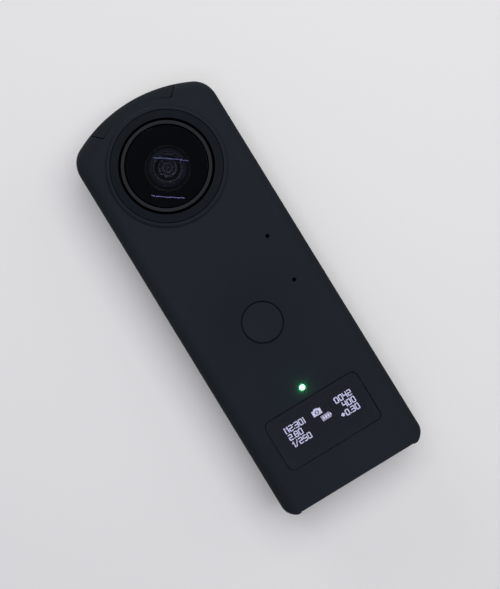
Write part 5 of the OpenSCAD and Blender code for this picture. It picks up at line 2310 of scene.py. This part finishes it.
@dataclass
class Studio:
    """The pale table that the camera lies on, and the lights round it."""

    lens: LensUnit
    camera: PhotoCamera
    half_d: float
    table_size: float = 900.0
    table_tone: Colour = (0.79, 0.79, 0.78)
    table_rough: float = 0.6
    table_specular: float = 0.2
    sky: Colour = (0.90, 0.90, 0.90)
    sky_level: float = 0.55
    ambient: float = 0.14
    tube_away: float = 600.0

    def world(self) -> None:
        """A pale background with a lower ambient light."""
        world = bpy.data.worlds.new("studio")
        bpy.context.scene.world = world
        world.use_nodes = True
        tree = world.node_tree
        tree.nodes.clear()
        path = tree.nodes.new("ShaderNodeLightPath")
        seen = path.outputs["Is Camera Ray"]
        for ray in ("Is Glossy Ray", "Is Transmission Ray"):
            either = tree.nodes.new("ShaderNodeMath")
            either.operation = "MAXIMUM"
            tree.links.new(seen, either.inputs[0])
            tree.links.new(path.outputs[ray], either.inputs[1])
            seen = either.outputs["Value"]
        level = tree.nodes.new("ShaderNodeMapRange")
        level.inputs["To Min"].default_value = self.ambient
        level.inputs["To Max"].default_value = self.sky_level
        tree.links.new(seen, level.inputs["Value"])
        sky = tree.nodes.new("ShaderNodeBackground")
        sky.inputs["Color"].default_value = (*self.sky, 1)
        tree.links.new(level.outputs["Result"], sky.inputs["Strength"])
        end = tree.nodes.new("ShaderNodeOutputWorld")
        tree.links.new(sky.outputs["Background"], end.inputs["Surface"])

    def table_plane(self) -> None:
        """The table under the camera's back: it touches the rear lens and the rear base edge.

        It is clear from behind, and the rear lamps shine through it.
        """
        low = Vector((0, self.half_d, 0))
        high = Vector((0, NodeBox.of("rear_lens_dome").high.y, self.lens.lens_z))
        along = (high - low).normalized()
        centre = (low + high) / 2
        half = self.table_size / 2
        shape = bmesh.new()
        for x, t in ((-half, -half), (half, -half), (half, half), (-half, half)):
            shape.verts.new(centre + Vector((x, 0, 0)) + along * t)
        shape.faces.new(shape.verts[:])
        table = finish_mesh("table", shape)
        table.data.update()
        if table.data.polygons[0].normal.y > 0:
            table.data.flip_normals()
        bench = NodeBench("table_top")
        bench.set(Base_Color=(*self.table_tone, 1), Roughness=self.table_rough)
        bench.set(Specular_IOR_Level=self.table_specular)
        facing = bench.node("ShaderNodeNewGeometry").outputs["Backfacing"]
        shadow = bench.node("ShaderNodeLightPath").outputs["Is Shadow Ray"]
        bench.let_through(bench.math("MAXIMUM", facing, shadow))
        table.data.materials.append(bench.material)
        table.visible_diffuse = False

    def mirrored(self, x: float, down: float) -> tuple[Vector, Vector]:
        """Where a lamp shows on the front dome.

        Args:
            x: Place across the dome from its middle, to the right.
            down: Place below the dome's middle.

        Returns:
            The point on the dome and the direction from it to the lamp.
        """
        lens = self.lens
        middle = Vector((0, -(lens.dome_top - lens.dome_sphere), lens.lens_z))
        face = Vector((0, -lens.dome_top, lens.lens_z))
        eye = self.camera.place
        ray = (face + Vector((x, 0, -down)) - eye).normalized()
        half = (eye - middle).dot(ray)
        reach = -half - math.sqrt(half**2 - (eye - middle).length_squared + lens.dome_sphere**2)
        spot = eye + ray * reach
        normal = (spot - middle).normalized()
        return spot, ray - normal * 2 * ray.dot(normal)

    def hang(self, tube: Tube) -> None:
        """Hang a tube where the front dome mirrors it into its place.

        Args:
            tube: The tube.
        """
        ends = []
        for x, down in (tube.start, tube.stop):
            spot, way = self.mirrored(x, down)
            ends.append(spot + way * self.tube_away)
        centre = (ends[0] + ends[1]) / 2
        span = ends[1] - ends[0]
        aim = Vector((0, -self.lens.dome_top, self.lens.lens_z))
        Lamp(tube.name, centre, aim, (span.length, tube.width), tube.watts, tube.colour, span).build()

    def build(self) -> None:
        """Set the stage and the lights."""
        bpy.context.scene.view_settings.view_transform = "Standard"
        self.world()
        self.table_plane()
        for tube in TUBES:
            self.hang(tube)
        for lamp in LAMPS:
            lamp.build()
            x, y, z = lamp.place
            replace(lamp, name=f"{lamp.name}_rear", place=Vector((-x, -y, z))).build()


def main() -> None:
    """Build the camera and its stage in order."""
    logging.basicConfig(level=logging.INFO, format="%(name)s: %(message)s")
    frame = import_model()
    shell = NodeBox.of("front_shell")
    dome = NodeBox.of("front_lens_dome")
    window = NodeBox.of("display_window")
    lens_z = dome.centre.z
    repeater = Repeater()
    form = BodyForm(shell.high.x, NodeBox.of("antenna_cap").high.z, -window.low.y)
    Casing(form, repeater, lens_z).build()
    front = LensUnit(Side.FRONT, lens_z)
    front.build()
    LensUnit(Side.REAR, lens_z).build()
    Controls(form.half_w, form.half_d).build()
    Display(repeater).build()
    StatusLamp().build()
    Base(repeater).build()
    Inside(lens_z).build(frame["nodes"])
    camera = PhotoCamera()
    camera.build()
    Studio(front, camera, form.half_d).build()


if __name__ == "__main__":
    main()
